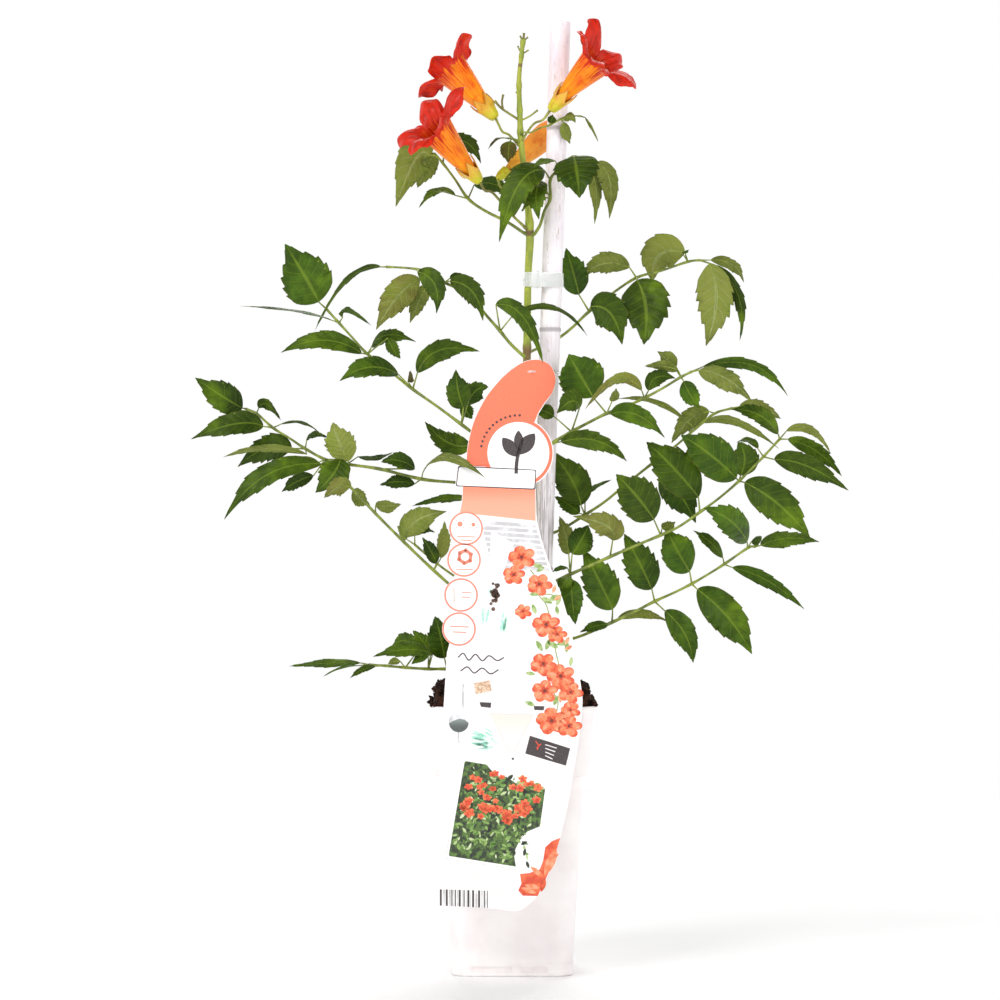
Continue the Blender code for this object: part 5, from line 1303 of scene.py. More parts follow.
def rounded_square(half: float, corner: float, z: float, steps: int = 14) -> Array:
    """Points of a square with round corners: corner centres plus corner (cos t, sin t).

    Args:
        half: half the width.
        corner: radius of the corners.
        z: height.
        steps: points in each corner arc, less one.

    Returns:
        (4 (steps + 1), 3) points, anticlockwise.
    """
    quarter = np.repeat(np.arange(4), steps + 1)
    t = quarter * np.pi / 2 + np.tile(np.arange(steps + 1), 4) * np.pi / 2 / steps
    middle = np.pi / 4 + quarter * np.pi / 2
    x = (half - corner) * np.sign(np.cos(middle)) + corner * np.cos(t)
    y = (half - corner) * np.sign(np.sin(middle)) + corner * np.sin(t)
    return np.stack([x, y, np.full_like(x, z)], -1)


@dataclass(frozen=True)
class Pot:
    """A tapering square pot with a deep collar, a foot ledge and drain slots low in its walls."""

    base_half: float = 44.5
    body_half: float = 53.0
    collar_half: float = 57.3
    rim_half: float = 61.0
    collar_z: float = 146.5
    height: float = 197.0
    wall: float = 1.6
    floor: float = 2.4
    slots: Pairs = ((-15.0, 30.0), (15.5, 20.0))
    slot_height: float = 4.5
    slot_depth: float = 1.2

    def profile(self) -> list[tuple[float, float]]:
        """(height, half width) up the outside and down the inside, each edge softened by close rings."""
        b, m, c, r = self.base_half, self.body_half, self.collar_half, self.rim_half
        z, h, w = self.collar_z, self.height, self.wall
        foot = [(0.0, b - 1.2), (0.25, b - 0.55), (0.7, b - 0.12), (1.2, b), (8.3, b + 0.55),
                (8.6, b + 0.5), (9.3, b + 0.05), (9.6, b), (40, b + 1.85), (100, b + 5.6), (z - 0.3, m),
                (z, m + 0.3)]
        collar = [(z, c - 0.8), (z + 0.3, c - 0.25), (z + 1.2, c), (170, c + 1.65), (h - 4.6, r - 0.15),
                  (h - 4.2, r), (h - 1.2, r), (h - 0.4, r - 0.3), (h, r - 0.9)]
        inner = [(h, r - w - 0.6), (h - 0.5, r - w - 0.9), (z + 1.6, c - w), (z + 1.6, m - w),
                 (self.floor, b - w)]
        return foot + collar + inner

    def build(self, plastic: Material) -> Thing:
        """Make the pot and cut its drain slots."""
        profile = self.profile()
        rings = np.stack([rounded_square(half, 13.0 + 3.0 * z / self.height, z) for z, half in profile])
        skin = Skin("pot_shell")
        skin.loft(rings)
        pot = skin.build([plastic])
        cutters = []
        for quarter in range(4):
            turn = quarter * math.pi / 2
            for centre, width in self.slots:
                t = np.linspace(0, 2 * np.pi, 40, endpoint=False)
                x = centre + np.sign(np.cos(t)) * (width / 2 - 2.0) + 2.0 * np.cos(t)
                rise = np.sign(np.sin(t)) * np.abs(np.sin(t)) ** 0.5
                z = self.floor + 0.4 + self.slot_height / 2 * (1 + rise)
                faces = [np.stack([x, 0 * x + y - self.base_half, z], -1) for y in (-6.0, self.slot_depth)]
                c, s = math.cos(turn), math.sin(turn)
                spun = np.stack(faces) @ np.array([[c, s, 0], [-s, c, 0], [0, 0, 1.0]])
                cutter = Skin(f"cutter_{quarter}_{width:.0f}")
                cutter.loft(spun)
                cutters.append(cutter.build([plastic]))
        return dress(carve(pot, cutters, 32), "pot_plastic", "pot")


@dataclass(frozen=True)
class Soil:
    """Heaped potting soil: a rough mound a little proud of the rim, strewn with crumbs and bark."""

    rim_half: float = 57.8
    edge_z: float = 197.5
    crumbs: int = 620
    spilt: int = 90

    @property
    def warm(self) -> Array:
        """Tint of a crumb of middling shade."""
        return np.array([1.0, 0.97, 0.92])

    def height(self, x: Array, y: Array) -> Array:
        """Edge height plus 14 (1 - away^9) and two sizes of smooth roughness."""
        away = np.maximum(np.abs(x), np.abs(y)) / 61.0
        p = np.stack([x, y, 0 * x], -1)
        return self.edge_z + 14.0 * (1 - away**9) + 1.8 * ripple(p, 30.0, 3) + 1.3 * ripple(p, 9.0, 4)

    def build(self, peat: Material) -> Thing:
        """Make the mound and its crumbs, each an 18-point lump pushed out of round."""
        skin = Skin("soil_mound")
        sides = ((42.4, 12, 9.5), (50.3, 14, 147.5), (50.3, 14, 148.9), (54.8, 14, 148.9),
                 (self.rim_half - 0.6, 15, 195.0))
        low = [rounded_square(*side) for side in sides]
        top = []
        for share in np.concatenate([np.linspace(0.99, 0.86, 8), np.linspace(0.83, 0.04, 30)]):
            ring = rounded_square(self.rim_half * share, 15 * share, 0.0)
            ring[:, 2] = self.height(ring[:, 0], ring[:, 1]) + 0.8 * ripple(ring, 4.0, 9)
            top.append(ring)
        skin.loft(np.stack(low + top))
        draw = np.random.default_rng(12)
        ball, quads = self.lump()
        for _ in range(self.crumbs):
            edge = draw.random() < 0.45
            x, y = draw.uniform(-0.95, 0.95, 2) * self.rim_half
            if edge:
                x = math.copysign(draw.uniform(0.84, 0.97) * self.rim_half, x)
                x, y = (x, y) if draw.random() < 0.6 else (y, x)
            size = draw.uniform(0.9, 2.9) * draw.uniform(0.6, 1.2, 3)
            axis = np.linalg.qr(draw.normal(size=(3, 3)))[0]
            spot = np.array([x, y, float(self.height(np.array(x), np.array(y))) + 0.3])
            lump = ball * (1 + 0.3 * draw.normal(size=(len(ball), 1))).clip(0.5, 1.5) * size
            shade = draw.choice([0.35, 0.7, 1.0, 1.3, 2.2], p=[0.25, 0.3, 0.25, 0.14, 0.06])
            skin.patch(lump @ axis.T + spot, quads, None, self.warm * shade)
        # crumbs and bark that have spilt on to the rim
        for _ in range(self.spilt):
            x, y = math.copysign(draw.uniform(56.5, 60.5), draw.normal() + 0.3), draw.uniform(-1, 1) * 56.0
            x, y = (x, y) if draw.random() < 0.75 else (y, x)
            size = draw.uniform(1.0, 2.4) * draw.uniform(0.5, 1.3, 3)
            axis = np.linalg.qr(draw.normal(size=(3, 3)))[0]
            spot = np.array([x, y, self.edge_z - 0.5 + draw.uniform(0.5, 1.0) * float(size.mean())])
            lump = ball * (1 + 0.3 * draw.normal(size=(len(ball), 1))).clip(0.5, 1.5) * size
            skin.patch(lump @ axis.T + spot, quads, None, self.warm * draw.uniform(0.4, 1.8))
        return dress(skin.build([peat]), "potting_soil", "soil")

    @staticmethod
    def lump() -> tuple[Array, list[list[int]]]:
        """Points and faces of a coarse ball: three rings of five and two poles."""
        t = np.arange(5) * 2 * np.pi / 5
        rows = [np.stack([np.cos(t + k * 0.6) * r, np.sin(t + k * 0.6) * r, np.full(5, z)], -1)
                for k, (r, z) in enumerate(((0.75, -0.66), (1.0, 0.0), (0.75, 0.66)))]
        points = np.vstack(rows + [np.array([[0, 0, -1.0], [0, 0, 1.0]])])
        faces = []
        for k in range(5):
            n = (k + 1) % 5
            faces += [[k, n, 5 + n, 5 + k], [5 + k, 5 + n, 10 + n, 10 + k]]
            faces += [[15, n, k], [16, 10 + k, 10 + n]]
        return points, faces


def hull_path(circles: Sequence[tuple[float, float, float]], grow: float, z: float,
              count: int = 96) -> Array:
    """Path that wraps upright circles: on each heading, the one that reaches furthest, grown outwards."""
    t = np.linspace(0, 2 * np.pi, count, endpoint=False)
    c = np.array(circles)
    reach = np.cos(t)[:, None] * c[:, 0] + np.sin(t)[:, None] * c[:, 1] + c[:, 2]
    best = c[np.argmax(reach, axis=1)]
    x = best[:, 0] + (best[:, 2] + grow) * np.cos(t)
    y = best[:, 1] + (best[:, 2] + grow) * np.sin(t)
    # each straight run between two circles is filled with points of its own
    ring = np.stack([x, y], -1)
    after = np.roll(ring, -1, axis=0)
    out = []
    for a, b in zip(ring, after):
        gaps = max(1, int(np.linalg.norm(b - a) / 1.2))
        out.append(a + (b - a) * (np.arange(gaps) / gaps)[:, None])
    flat = np.vstack(out)
    return np.column_stack([flat, np.full(len(flat), z)])


@dataclass(frozen=True)
class Strap:
    """A flat closed strap: round-edged section carried round a path."""

    name: str
    node: str
    circles: tuple[tuple[float, float, float], ...]
    low: float
    high: float
    thick: float = 0.8

    def build(self, plastic: Material, pin: Optional[tuple[float, float]] = None) -> Thing:
        """Make the strap, and a hinge pin beside it where one shows.

        Args:
            plastic: its finish.
            pin: (x, y) of the hinge pin, or none.

        Returns:
            The finished piece.
        """
        t = np.linspace(0, 2 * np.pi, 12, endpoint=False)
        deep = self.thick / 2 * np.sign(np.cos(t)) * np.abs(np.cos(t)) ** 0.6
        tall = (self.high - self.low) / 2 * np.sign(np.sin(t)) * np.abs(np.sin(t)) ** 0.25
        path = hull_path(self.circles, self.thick / 2, (self.low + self.high) / 2)
        ahead = unit(np.roll(path, -1, axis=0) - np.roll(path, 1, axis=0))
        out = np.stack([ahead[:, 1], -ahead[:, 0], 0 * ahead[:, 0]], -1)
        rings = path[:, None] + out[:, None] * deep[None, :, None]
        rings = rings + np.array([0, 0, 1.0]) * tall[None, :, None]
        skin = Skin(self.name)
        skin.patch(rings, ring_quads(*rings.shape[:2], closed=True).tolist())
        if pin is not None:
            z = np.array([self.low - 0.8, self.low - 0.5, self.high + 0.5, self.high + 0.8])
            post = np.stack([np.full(4, pin[0]), np.full(4, pin[1]), z], -1)
            skin.tube(post, [0.7, 1.05, 1.05, 0.7], 14)
        return dress(skin.build([plastic], 40), "clear_plastic", self.node)


def arc(cx: float, cz: float, radius: float, start: float, end: float, steps: int = 24) -> Array:
    """Points of an arc, centre plus radius (cos t, sin t), angles in degrees."""
    t = np.radians(np.linspace(start, end, steps + 1))
    return np.stack([cx + radius * np.cos(t), cz + radius * np.sin(t)], -1)


@dataclass(frozen=True)
class Card:
    """The label: a thin flat card cut to its outline, with plain printed shapes lying on it."""

    top: tuple[float, float] = (449.5, -15.2)
    rim: tuple[float, float] = (197.0, -63.2)
    thick: float = 0.9
    hole: tuple[float, float, float, float] = (14.9, 447.4, 5.6, 2.9)
    roundel: tuple[float, float] = (4.7, 387.8)
    tabs: Pairs = ((-34.0, 332.0), (-35.5, 308.6), (-37.7, 282.7), (-39.2, 257.5))

    def place(self, flat: Array) -> Array:
        """The places on the card's front that are seen at (x, z): where the viewer's ray meets its plane.

        The plane is y = top_y + (top_z - z) slope, and y = eye_y + t ray_y is solved for t.
        """
        flat = np.asarray(flat, float)
        slope = (self.rim[1] - self.top[1]) / (self.top[0] - self.rim[0])
        rise = flat[..., 1] - SEEN_ZERO - VIEWER[2]
        ray = np.stack([flat[..., 0] - VIEWER[0], np.full(flat.shape[:-1], -VIEWER[1]), rise], -1)
        far = self.top[1] + (self.top[0] - VIEWER[2]) * slope - VIEWER[1]
        t = far / (ray[..., 1] + ray[..., 2] * slope)
        return VIEWER + t[..., None] * ray

    def outline(self) -> Array:
        """The card's edge, anticlockwise: smooth curves through the measured places, and round tabs."""
        hook = catmull([(30.0, 432.6), (32.3, 441.0), (31.2, 448.0), (27.5, 453.6), (20.0, 457.0),
                        (11.0, 456.2), (3.0, 452.2), (-5.0, 446.0), (-12.0, 438.6), (-18.8, 430.0),
                        (-24.5, 420.0), (-29.0, 409.5), (-32.0, 398.0), (-33.6, 387.0), (-34.0, 377.6)], 5)
        left = [(-40.9, 377.2), (-42.0, 363.4), (-36.3, 363.0), (-38.0, 344.4)]
        spans = ((108, 236), (130, 238), (126, 236), (128, 236))
        tabs = [arc(x, z, 12.6, a, b, 20) for (x, z), (a, b) in zip(self.tabs, spans)]
        foot = catmull([(-58.7, 53.0), (-28.0, 51.6), (-10.0, 50.2), (3.8, 48.8), (12.0, 53.5),
                        (18.5, 60.0), (24.4, 71.8), (30.5, 86.0), (35.5, 103.0), (41.0, 126.0),
                        (44.4, 146.0), (48.8, 172.0), (51.9, 199.0), (51.4, 213.0), (45.1, 249.4),
                        (37.7, 279.0), (26.6, 308.6), (18.5, 338.0), (17.4, 362.6)], 4)
        round_side = arc(*self.roundel, 26.0, -56, 62, 30)
        neck = [(19.8, 417.0), (24.6, 424.8)]
        return np.vstack([hook, left, *tabs, [(-48.2, 240.0), (-50.4, 204.0)], foot, [(17.8, 365.6)],
                          round_side, neck])

    def slab(self, skin: Skin, flat: Array, front: float, back: float) -> None:
        """Add a flat shape with straight sides.

        Args:
            skin: the mesh being gathered.
            flat: (n, 2) outline as seen.
            front: how far its face stands before the card's.
            back: how far its back stands before the card's, less than zero behind it.
        """
        p = self.place(flat)
        skin.loft(np.stack([p + [0, -front, 0], p + [0, -back, 0]]))

    def sheet(self, board: Material) -> Thing:
        """Make the card itself and cut the tie's hole."""
        skin = Skin("label_card_sheet")
        self.slab(skin, self.outline(), 0.0, -self.thick)
        card = skin.build([board], 30)
        x, z, rx, rz = self.hole
        cutter_skin = Skin("hole_cutter")
        self.slab(cutter_skin, arc(x, z, 1.0, 0, 351, 39) * [rx, rz] + [x - x * rx, z - z * rz], 6.0, -6.0)
        return dress(carve(card, [cutter_skin.build([board])], 30), "printed_card", "label_card")

    def film(self, name: str, ink: Material, shapes: Sequence[Array], lift: float) -> Thing:
        """Make one ink's shapes as a film on the card.

        Args:
            name: the piece's name.
            ink: its finish.
            shapes: outlines as seen.
            lift: height of the film's face above the card.

        Returns:
            The finished piece.
        """
        skin = Skin(name)
        for flat in shapes:
            self.slab(skin, np.asarray(flat, float), lift, 0.02)
        return dress(skin.build([ink], 30), "printed_card")


def disc(x: float, z: float, radius: float, steps: int = 48) -> Array:
    """Outline of a disc."""
    return arc(x, z, radius, 0, 360 * (1 - 1 / steps), steps - 1)


def beads(centre: Sequence[float], radius: float, turns: Array, size: float, steps: int) -> list[Array]:
    """Small discs at the given turns of a circle round a centre."""
    x, z = centre
    return [disc(x + radius * math.cos(a), z + radius * math.sin(a), size, steps) for a in turns]


def ring_shapes(x: float, z: float, outer: float, inner: float) -> list[Array]:
    """A ring as two half shapes."""
    return [np.vstack([arc(x, z, outer, a, a + 180), arc(x, z, inner, a + 180, a)]) for a in (0, 180)]


def petals(x: float, z: float, radius: float, turn: float, flat: float = 0.85) -> Array:
    """Outline of a five-petalled flower: radius (0.55 + 0.45 |cos(2.5 t)|^0.7), a little foreshortened."""
    t = np.linspace(0, 2 * np.pi, 80, endpoint=False)
    r = radius * (0.55 + 0.45 * np.abs(np.cos(2.5 * t)) ** 0.7)
    return np.stack([x + r * np.cos(t + turn), z + flat * r * np.sin(t + turn)], -1)


def blade_shape(x: float, z: float, length: float, width: float, angle: float) -> Array:
    """Outline of a simple pointed leaf from (x, z), half width w sin(pi u)^0.8 on each side."""
    u = np.linspace(0, 1, 14)
    half = width / 2 * np.sin(np.pi * u) ** 0.8
    a = math.radians(angle)
    ahead, side = np.array([math.cos(a), math.sin(a)]), np.array([-math.sin(a), math.cos(a)])
    left = u[:, None] * length * ahead + half[:, None] * side
    right = (u[:, None] * length * ahead - half[:, None] * side)[-2:0:-1]
    return np.vstack([left, right]) + [x, z]


def stroke(points: Places, width: float) -> Array:
    """Outline of a line of the given width drawn smoothly through points."""
    line = catmull(points, 6) if len(points) > 2 else np.asarray(points, float)
    slope = unit(np.gradient(line, axis=0))
    side = np.stack([-slope[:, 1], slope[:, 0]], -1) * width / 2
    return np.vstack([line + side, (line - side)[::-1]])


def rounded_box(corners: Places, radius: float) -> Array:
    """Outline of a four-cornered shape whose corners are quadratic curves that start radius away."""
    c = np.asarray(corners, float)
    out = []
    for k in range(len(c)):
        before, here, after = c[k - 1], c[k], c[(k + 1) % len(c)]
        a = here + unit(before - here) * radius
        b = here + unit(after - here) * radius
        t = np.linspace(0, 1, 8)[:, None]
        out.append((1 - t) ** 2 * a + 2 * t * (1 - t) * here + t**2 * b)
    return np.vstack(out)


@dataclass(frozen=True)
class Artwork:
    """Plain printed shapes for the card: colour fields, rings, simple flowers, leaves and bars."""

    card: Card

    def build(self) -> None:
        """Lay every ink on the card, the broad fields lowest."""
        c = self.card
        x, z = c.roundel
        hook = c.outline()
        hook = hook[: 14 * 5 + 1]
        lower = arc(x, z, 25.6, 222, 305, 16)
        side = arc(x, z, 25.6, -54, 62, 30)
        field_edge = np.vstack([hook, [(-34.2, 378.2), (-20, 377.5)], lower, side,
                                [(19.3, 417.2), (24.1, 425.0)]])
        inner = field_edge + unit(np.array([[0.0, 400.0]]) - field_edge) * 0.35
        self.ink("coral_field", [inner], 0.06, "#fb7352", "#fc7a56", (380, 455))
        band = [(-36.2, 363.0), (-36.8, 352), (-38.4, 343.6), (-10, 340.6), (17.4, 337.6),
                (17.3, 348), (17.0, 361.0)]
        self.ink("coral_band", [band], 0.06, "#fba98d", "#fb8260", (340, 362))
        plaque = [(-41.6, 363.2), (17.2, 360.6), (18.0, 375.4), (-39.8, 378.4)]
        whites = [disc(x, z, 22.9, 72)] + [disc(a, b, 12.1) for a, b in c.tabs]
        whites += [[(-15.5, 331), (1.5, 320.5), (-3.5, 309), (-6.0, 300.5), (-16.5, 298.5)]]
        self.ink("white", whites, 0.12, "#fdfcfb")
        self.ink("plaque", [rounded_box(plaque, 1.6)], 0.16, "#fdfcfb")
        rim = rounded_box(plaque, 1.6)
        centre = rim.mean(axis=0)
        shrink = centre + (rim - centre) * [0.975, 0.90]
        half = len(rim) // 2
        frame = [np.vstack([rim[: half + 1], shrink[: half + 1][::-1]]),
                 np.vstack([rim[half:], rim[:1], shrink[:1], shrink[half:][::-1]])]
        sprout = [blade_shape(4.0, 385.0, 18, 9.5, 128), blade_shape(4.6, 386.5, 20, 10.5, 52),
                  blade_shape(5.2, 389.5, 15, 7.0, 92), stroke([(3.0, 372.5), (3.6, 382), (5.6, 391)], 2.6)]
        dots = beads(c.roundel, 27.9, np.radians(np.arange(88, 171, 7.4)), 0.95, 14)
        waves = [stroke(run, 0.9) for run in (
            [(-40, 236.5), (-36, 239.5), (-32, 234.5), (-27, 238.8), (-22, 234.0), (-17, 237.8),
             (-11, 234.2), (-6, 236.5)],
            [(-38, 226.5), (-33, 229.5), (-28, 225.0), (-22, 228.6), (-16, 224.4), (-10, 227.4)])]
        bars = []
        draw = np.random.default_rng(4)
        at = -53.4
        while at < -17.5:
            wide = float(draw.choice([0.5, 0.8, 1.4]))
            bars.append([(at, 64.9 - 0.03 * (at + 53)), (at + wide, 64.9 - 0.03 * (at + 53)),
                         (at + wide, 52.9 - 0.05 * (at + 53)), (at, 52.9 - 0.05 * (at + 53))])
            at += wide + float(draw.choice([0.35, 0.6, 1.0]))
        tile = [(13.2, 178.6), (43.0, 169.2), (39.8, 156.4), (9.8, 165.4)]
        pegs = [[(-24, 203.5), (-15.4, 203), (-15.8, 199.2), (-23, 200)],
                [(16, 200.6), (24, 200.4), (23.4, 197.4), (16.6, 197.6)], disc(0.6, 161.5, 0.9, 12)]
        darks = frame + sprout + dots + waves + bars[::2] + [tile] + pegs
        self.ink("dark", darks, 0.18, "#3a2f30", roughness=0.5)
        slats = [[(-23 + k, 338.0 - 4.1 * k), (17.2 + 1.2 * k, 335.0 - 4.0 * k),
                  (17.8 + 1.2 * k, 332.4 - 4.0 * k), (-23 + k, 335.2 - 4.1 * k)] for k in range(9)]
        marks = [stroke([(-36, 217), (-36.4, 205), (-36.2, 196)], 1.6), disc(-39.4, 188.5, 7.6),
                 stroke([(-39.6, 182), (-39.8, 177), (-39.2, 173)], 1.2)] + bars[1::2]
        self.ink("grey", slats + marks, 0.09, "#c3c1c4", "#e6e5e7", blotch_mm=9.0)
        rings = [shape for a, b in c.tabs for shape in ring_shapes(a, b, 12.4, 11.2)]
        eight = np.arange(8) * math.pi / 4
        suns = [disc(-38.5, 335.2, 1.9, 20)] + beads((-38.5, 335.2), 3.6, eight, 0.42, 8)
        suns += [disc(-28.6, 334.8, 1.5, 20)] + beads((-28.6, 334.8), 3.2, eight, 0.4, 8)
        lines = [stroke([start, end], width) for start, end, width in (
            ((-41, 326.2), (-27, 325.6), 0.7), ((-38, 323.4), (-30, 323.0), 0.7),
            ((-41.5, 301.8), (-29, 301.4), 0.7), ((-43, 288), (-42.8, 277.5), 0.6),
            ((-37, 284.6), (-30, 284.3), 0.7), ((-37, 281.2), (-31, 281), 0.7),
            ((-46, 259.6), (-32, 259.0), 0.8), ((-44, 255.4), (-34, 255.0), 0.8))]
        scallops = beads((-34.8, 311.0), 5.0, np.arange(6) * math.pi / 3 + 0.4, 1.4, 12)
        marks = rings + suns + lines + ring_shapes(-34.8, 311.0, 5.4, 3.0) + scallops
        self.ink("tab_marks", marks, 0.2, "#e9826c", "#ee8a70", (250, 340))
        self.picture()
        self.flowers()

    def ink(self, name: str, shapes: Sequence[Array], lift: float, *tones: Any, **more: Any) -> None:
        """Lay shapes on the card at a lift in one ink, whose finish takes the tones and what follows."""
        self.card.film("print_" + name, InkFinish("ink_" + name, *tones, **more).make(), shapes, lift)

    def picture(self) -> None:
        """A bordered panel: dark dabbed foliage, plain orange flowers above, fading to white at right."""
        corners = np.array([(-35.0, 160.0), (26.0, 149.4), (16.2, 79.6), (-47.0, 89.6)])
        spread = [(0, 2.6), (1.4, 1.8), (1.0, -2.6), (-0.6, -2.2)]
        frame_line = rounded_box(corners * [1.045, 1.0] + spread, 3.0)
        self.ink("frame", [frame_line], 0.04, "#dedad6", "#f1eeec", (80, 160))
        mat = rounded_box(corners * [1.03, 1.0] + [(0, 2.0), (1.0, 1.4), (0.8, -2.0), (-0.4, -1.7)], 2.6)
        self.ink("mat", [mat], 0.06, "#fffdfc")
        self.ink("foliage", [rounded_box(corners, 1.5)], 0.08, "#1c2c0e", "#55782a", blotch_mm=3.4)
        draw = np.random.default_rng(31)

        def spot_in(u: float, v: float) -> Array:
            """A place in the panel, u across and v down, each 0 to 1."""
            left = corners[0] + (corners[3] - corners[0]) * v
            right = corners[1] + (corners[2] - corners[1]) * v
            return left + (right - left) * u

        groups: dict[str, list[Array]] = {k: [] for k in ("sky", "pale", "green", "dark", "bloom", "core")}
        top_gap = ((0.26, -0.004), (1.004, -0.004), (1.004, 0.15), (0.86, 0.12), (0.7, 0.16),
                   (0.52, 0.09), (0.4, 0.1))
        side_gap = ((1.004, 0.54), (1.004, 1.004), (0.79, 1.004), (0.74, 0.86), (0.79, 0.72), (0.86, 0.62))
        groups["sky"] = [np.array([spot_in(u, v) for u, v in gap]) for gap in (top_gap, side_gap)]
        for _ in range(340):
            u, v = 0.06 + 0.88 * draw.random(), 0.07 + 0.86 * draw.random()
            size = draw.uniform(2.2, 6.0)
            near_sky = (u > 0.76 and v > 0.55) or v < 0.12
            weights = (0.40, 0.42, 0.18) if v < 0.5 else (0.30, 0.40, 0.30)
            if near_sky:
                weights = (0.35, 0.45, 0.2)
            kind = str(draw.choice(["pale", "green", "dark"], p=weights))
            if near_sky and draw.random() < 0.55:
                continue
            wide = size * draw.uniform(0.3, 0.5)
            groups[kind].append(blade_shape(*spot_in(u, v), size, wide, draw.uniform(0, 360)))
        for _ in range(44):
            u, v = 0.08 + 0.84 * draw.random(), 0.07 + 0.48 * draw.random() ** 0.9
            here, size, turn = spot_in(u, v), draw.uniform(2.2, 4.6), draw.uniform(0, 6)
            groups["bloom"].append(petals(*here, size, turn, draw.uniform(0.6, 0.95)))
            groups["core"].append(petals(*(here + [0.2, -0.3]), size * 0.55, turn + 0.6, 0.8))
        inks = {"sky": ("#f3f1f0", "#fdfcfb", 9.0, 0.10), "pale": ("#a9c27a", "#cfdcae", 5.0, 0.13),
                "green": ("#628e38", "#92b25c", 5.0, 0.15), "dark": ("#101c08", "#24380f", 5.0, 0.17),
                "bloom": ("#e8491f", "#f8814c", 3.0, 0.19), "core": ("#c93412", "#ee6432", 3.0, 0.21)}
        for kind, (code, second, blotch, lift) in inks.items():
            self.ink("panel_" + kind, groups[kind], lift, code, second, blotch_mm=blotch)

    def flowers(self) -> None:
        """A loose column of plain open flowers, buds and leaves at the right, and a cut flower low down."""
        spots = ((7, 311, 10.5), (1, 298, 8.5), (20, 291, 9.6), (8, 271, 6.4), (25, 261, 10.8),
                 (33, 254, 7.6), (23, 232, 10.2), (36, 223, 11.0), (24, 212, 10.0), (43, 211, 9.4),
                 (43, 198, 7.6), (29, 190, 12.0), (42, 186, 9.6))
        names = ("under", "petal", "light", "throat", "heart", "sprig", "stalk", "bud")
        layers: dict[str, list[Array]] = {name: [] for name in names}
        for k, (x, z, r) in enumerate(spots):
            turn = 0.9 * k + 0.4
            layers["under"].append(petals(x + 0.5, z - 0.8, r, turn + 0.25, 0.86))
            layers["petal"].append(petals(x, z, r * 0.93, turn, 0.84))
            for lobe in range(5):
                a = turn + lobe * 2 * math.pi / 5
                start = x + r * 0.25 * math.cos(a), z + r * 0.22 * math.sin(a)
                layers["light"].append(blade_shape(*start, r * 0.56, r * 0.26, math.degrees(a)))
            layers["throat"].append(petals(x, z, r * 0.36, turn + 0.63, 0.8))
            layers["heart"].append(disc(x + 0.2, z - 0.2, r * 0.12, 14))
        for x, z, s, a in ((13, 283, 9, 10), (22, 281, 9, -30), (27, 279, 10, 20), (15, 276, 8, -70),
                           (33, 275, 8, 70), (18, 249, 9, -60), (26, 249, 10, -35), (33, 246, 9, 15),
                           (25, 242, 9, 70), (40, 240, 8, 80), (43, 230, 7, 80), (17, 201, 8, 160),
                           (31, 201, 8, 70), (45, 192, 6, 70), (15, 305, 8, -10), (18, 300, 7, 30),
                           (34, 268, 7, 100), (17, 224, 7, 170)):
            layers["sprig"].append(blade_shape(x, z, s, s * 0.42, a))
        for run in (((12, 303), (17, 296), (19, 284), (25, 276), (28, 266)),
                    ((28, 254), (31, 247), (33, 238), (35, 230)), ((31, 210), (34, 204), (33, 196)),
                    ((22, 283), (29, 283), (36, 279)), ((33, 246), (38, 246), (42, 243))):
            layers["stalk"].append(stroke(run, 0.8))
        for x, z, a in ((30, 284, 70), (31, 279, 30), (39, 246, 60), (39, 242, 30), (36, 203, 100),
                        (38, 205, 60)):
            layers["bud"].append(blade_shape(x, z, 6.5, 2.8, a))
        cut_flower = [(35.6, 103), (29.5, 100.5), (24.6, 96), (23.0, 86), (20.4, 79.4), (13, 77),
                      (6.0, 76.2), (7.0, 69), (4.6, 64.2), (8.0, 60.2), (18.9, 60.0), (24.6, 71.6),
                      (30.6, 86)]
        layers["under"].append(np.array(cut_flower))
        for x, z, s, a in ((24, 75, 22, 66), (21, 66, 12, 170), (23, 74, 12, 140), (18, 62, 12, 160),
                           (27, 85, 10, 40)):
            layers["light"].append(blade_shape(x, z, s, s * 0.30, a))
        layers["throat"].append(blade_shape(21.5, 63, 11, 4.2, 75))
        inks = {"stalk": ("#7d8f4a", "#9aa866", 5.0, 0.08), "sprig": ("#7fa04c", "#b9cb8c", 4.0, 0.10),
                "bud": ("#e9b98c", "#d9744a", 4.0, 0.12), "under": ("#d8441c", "#ee6a3c", 6.0, 0.14),
                "petal": ("#ee5f30", "#fa9468", 6.0, 0.17), "light": ("#f57c48", "#fba47c", 5.0, 0.19),
                "throat": ("#c83a16", "#e65a2a", 3.0, 0.21), "heart": ("#6e1e0c", "#8a2c14", 3.0, 0.23)}
        for kind, (code, second, blotch, lift) in inks.items():
            self.ink("bloom_" + kind, layers[kind], lift, code, second, blotch_mm=blotch)
        self.extras()

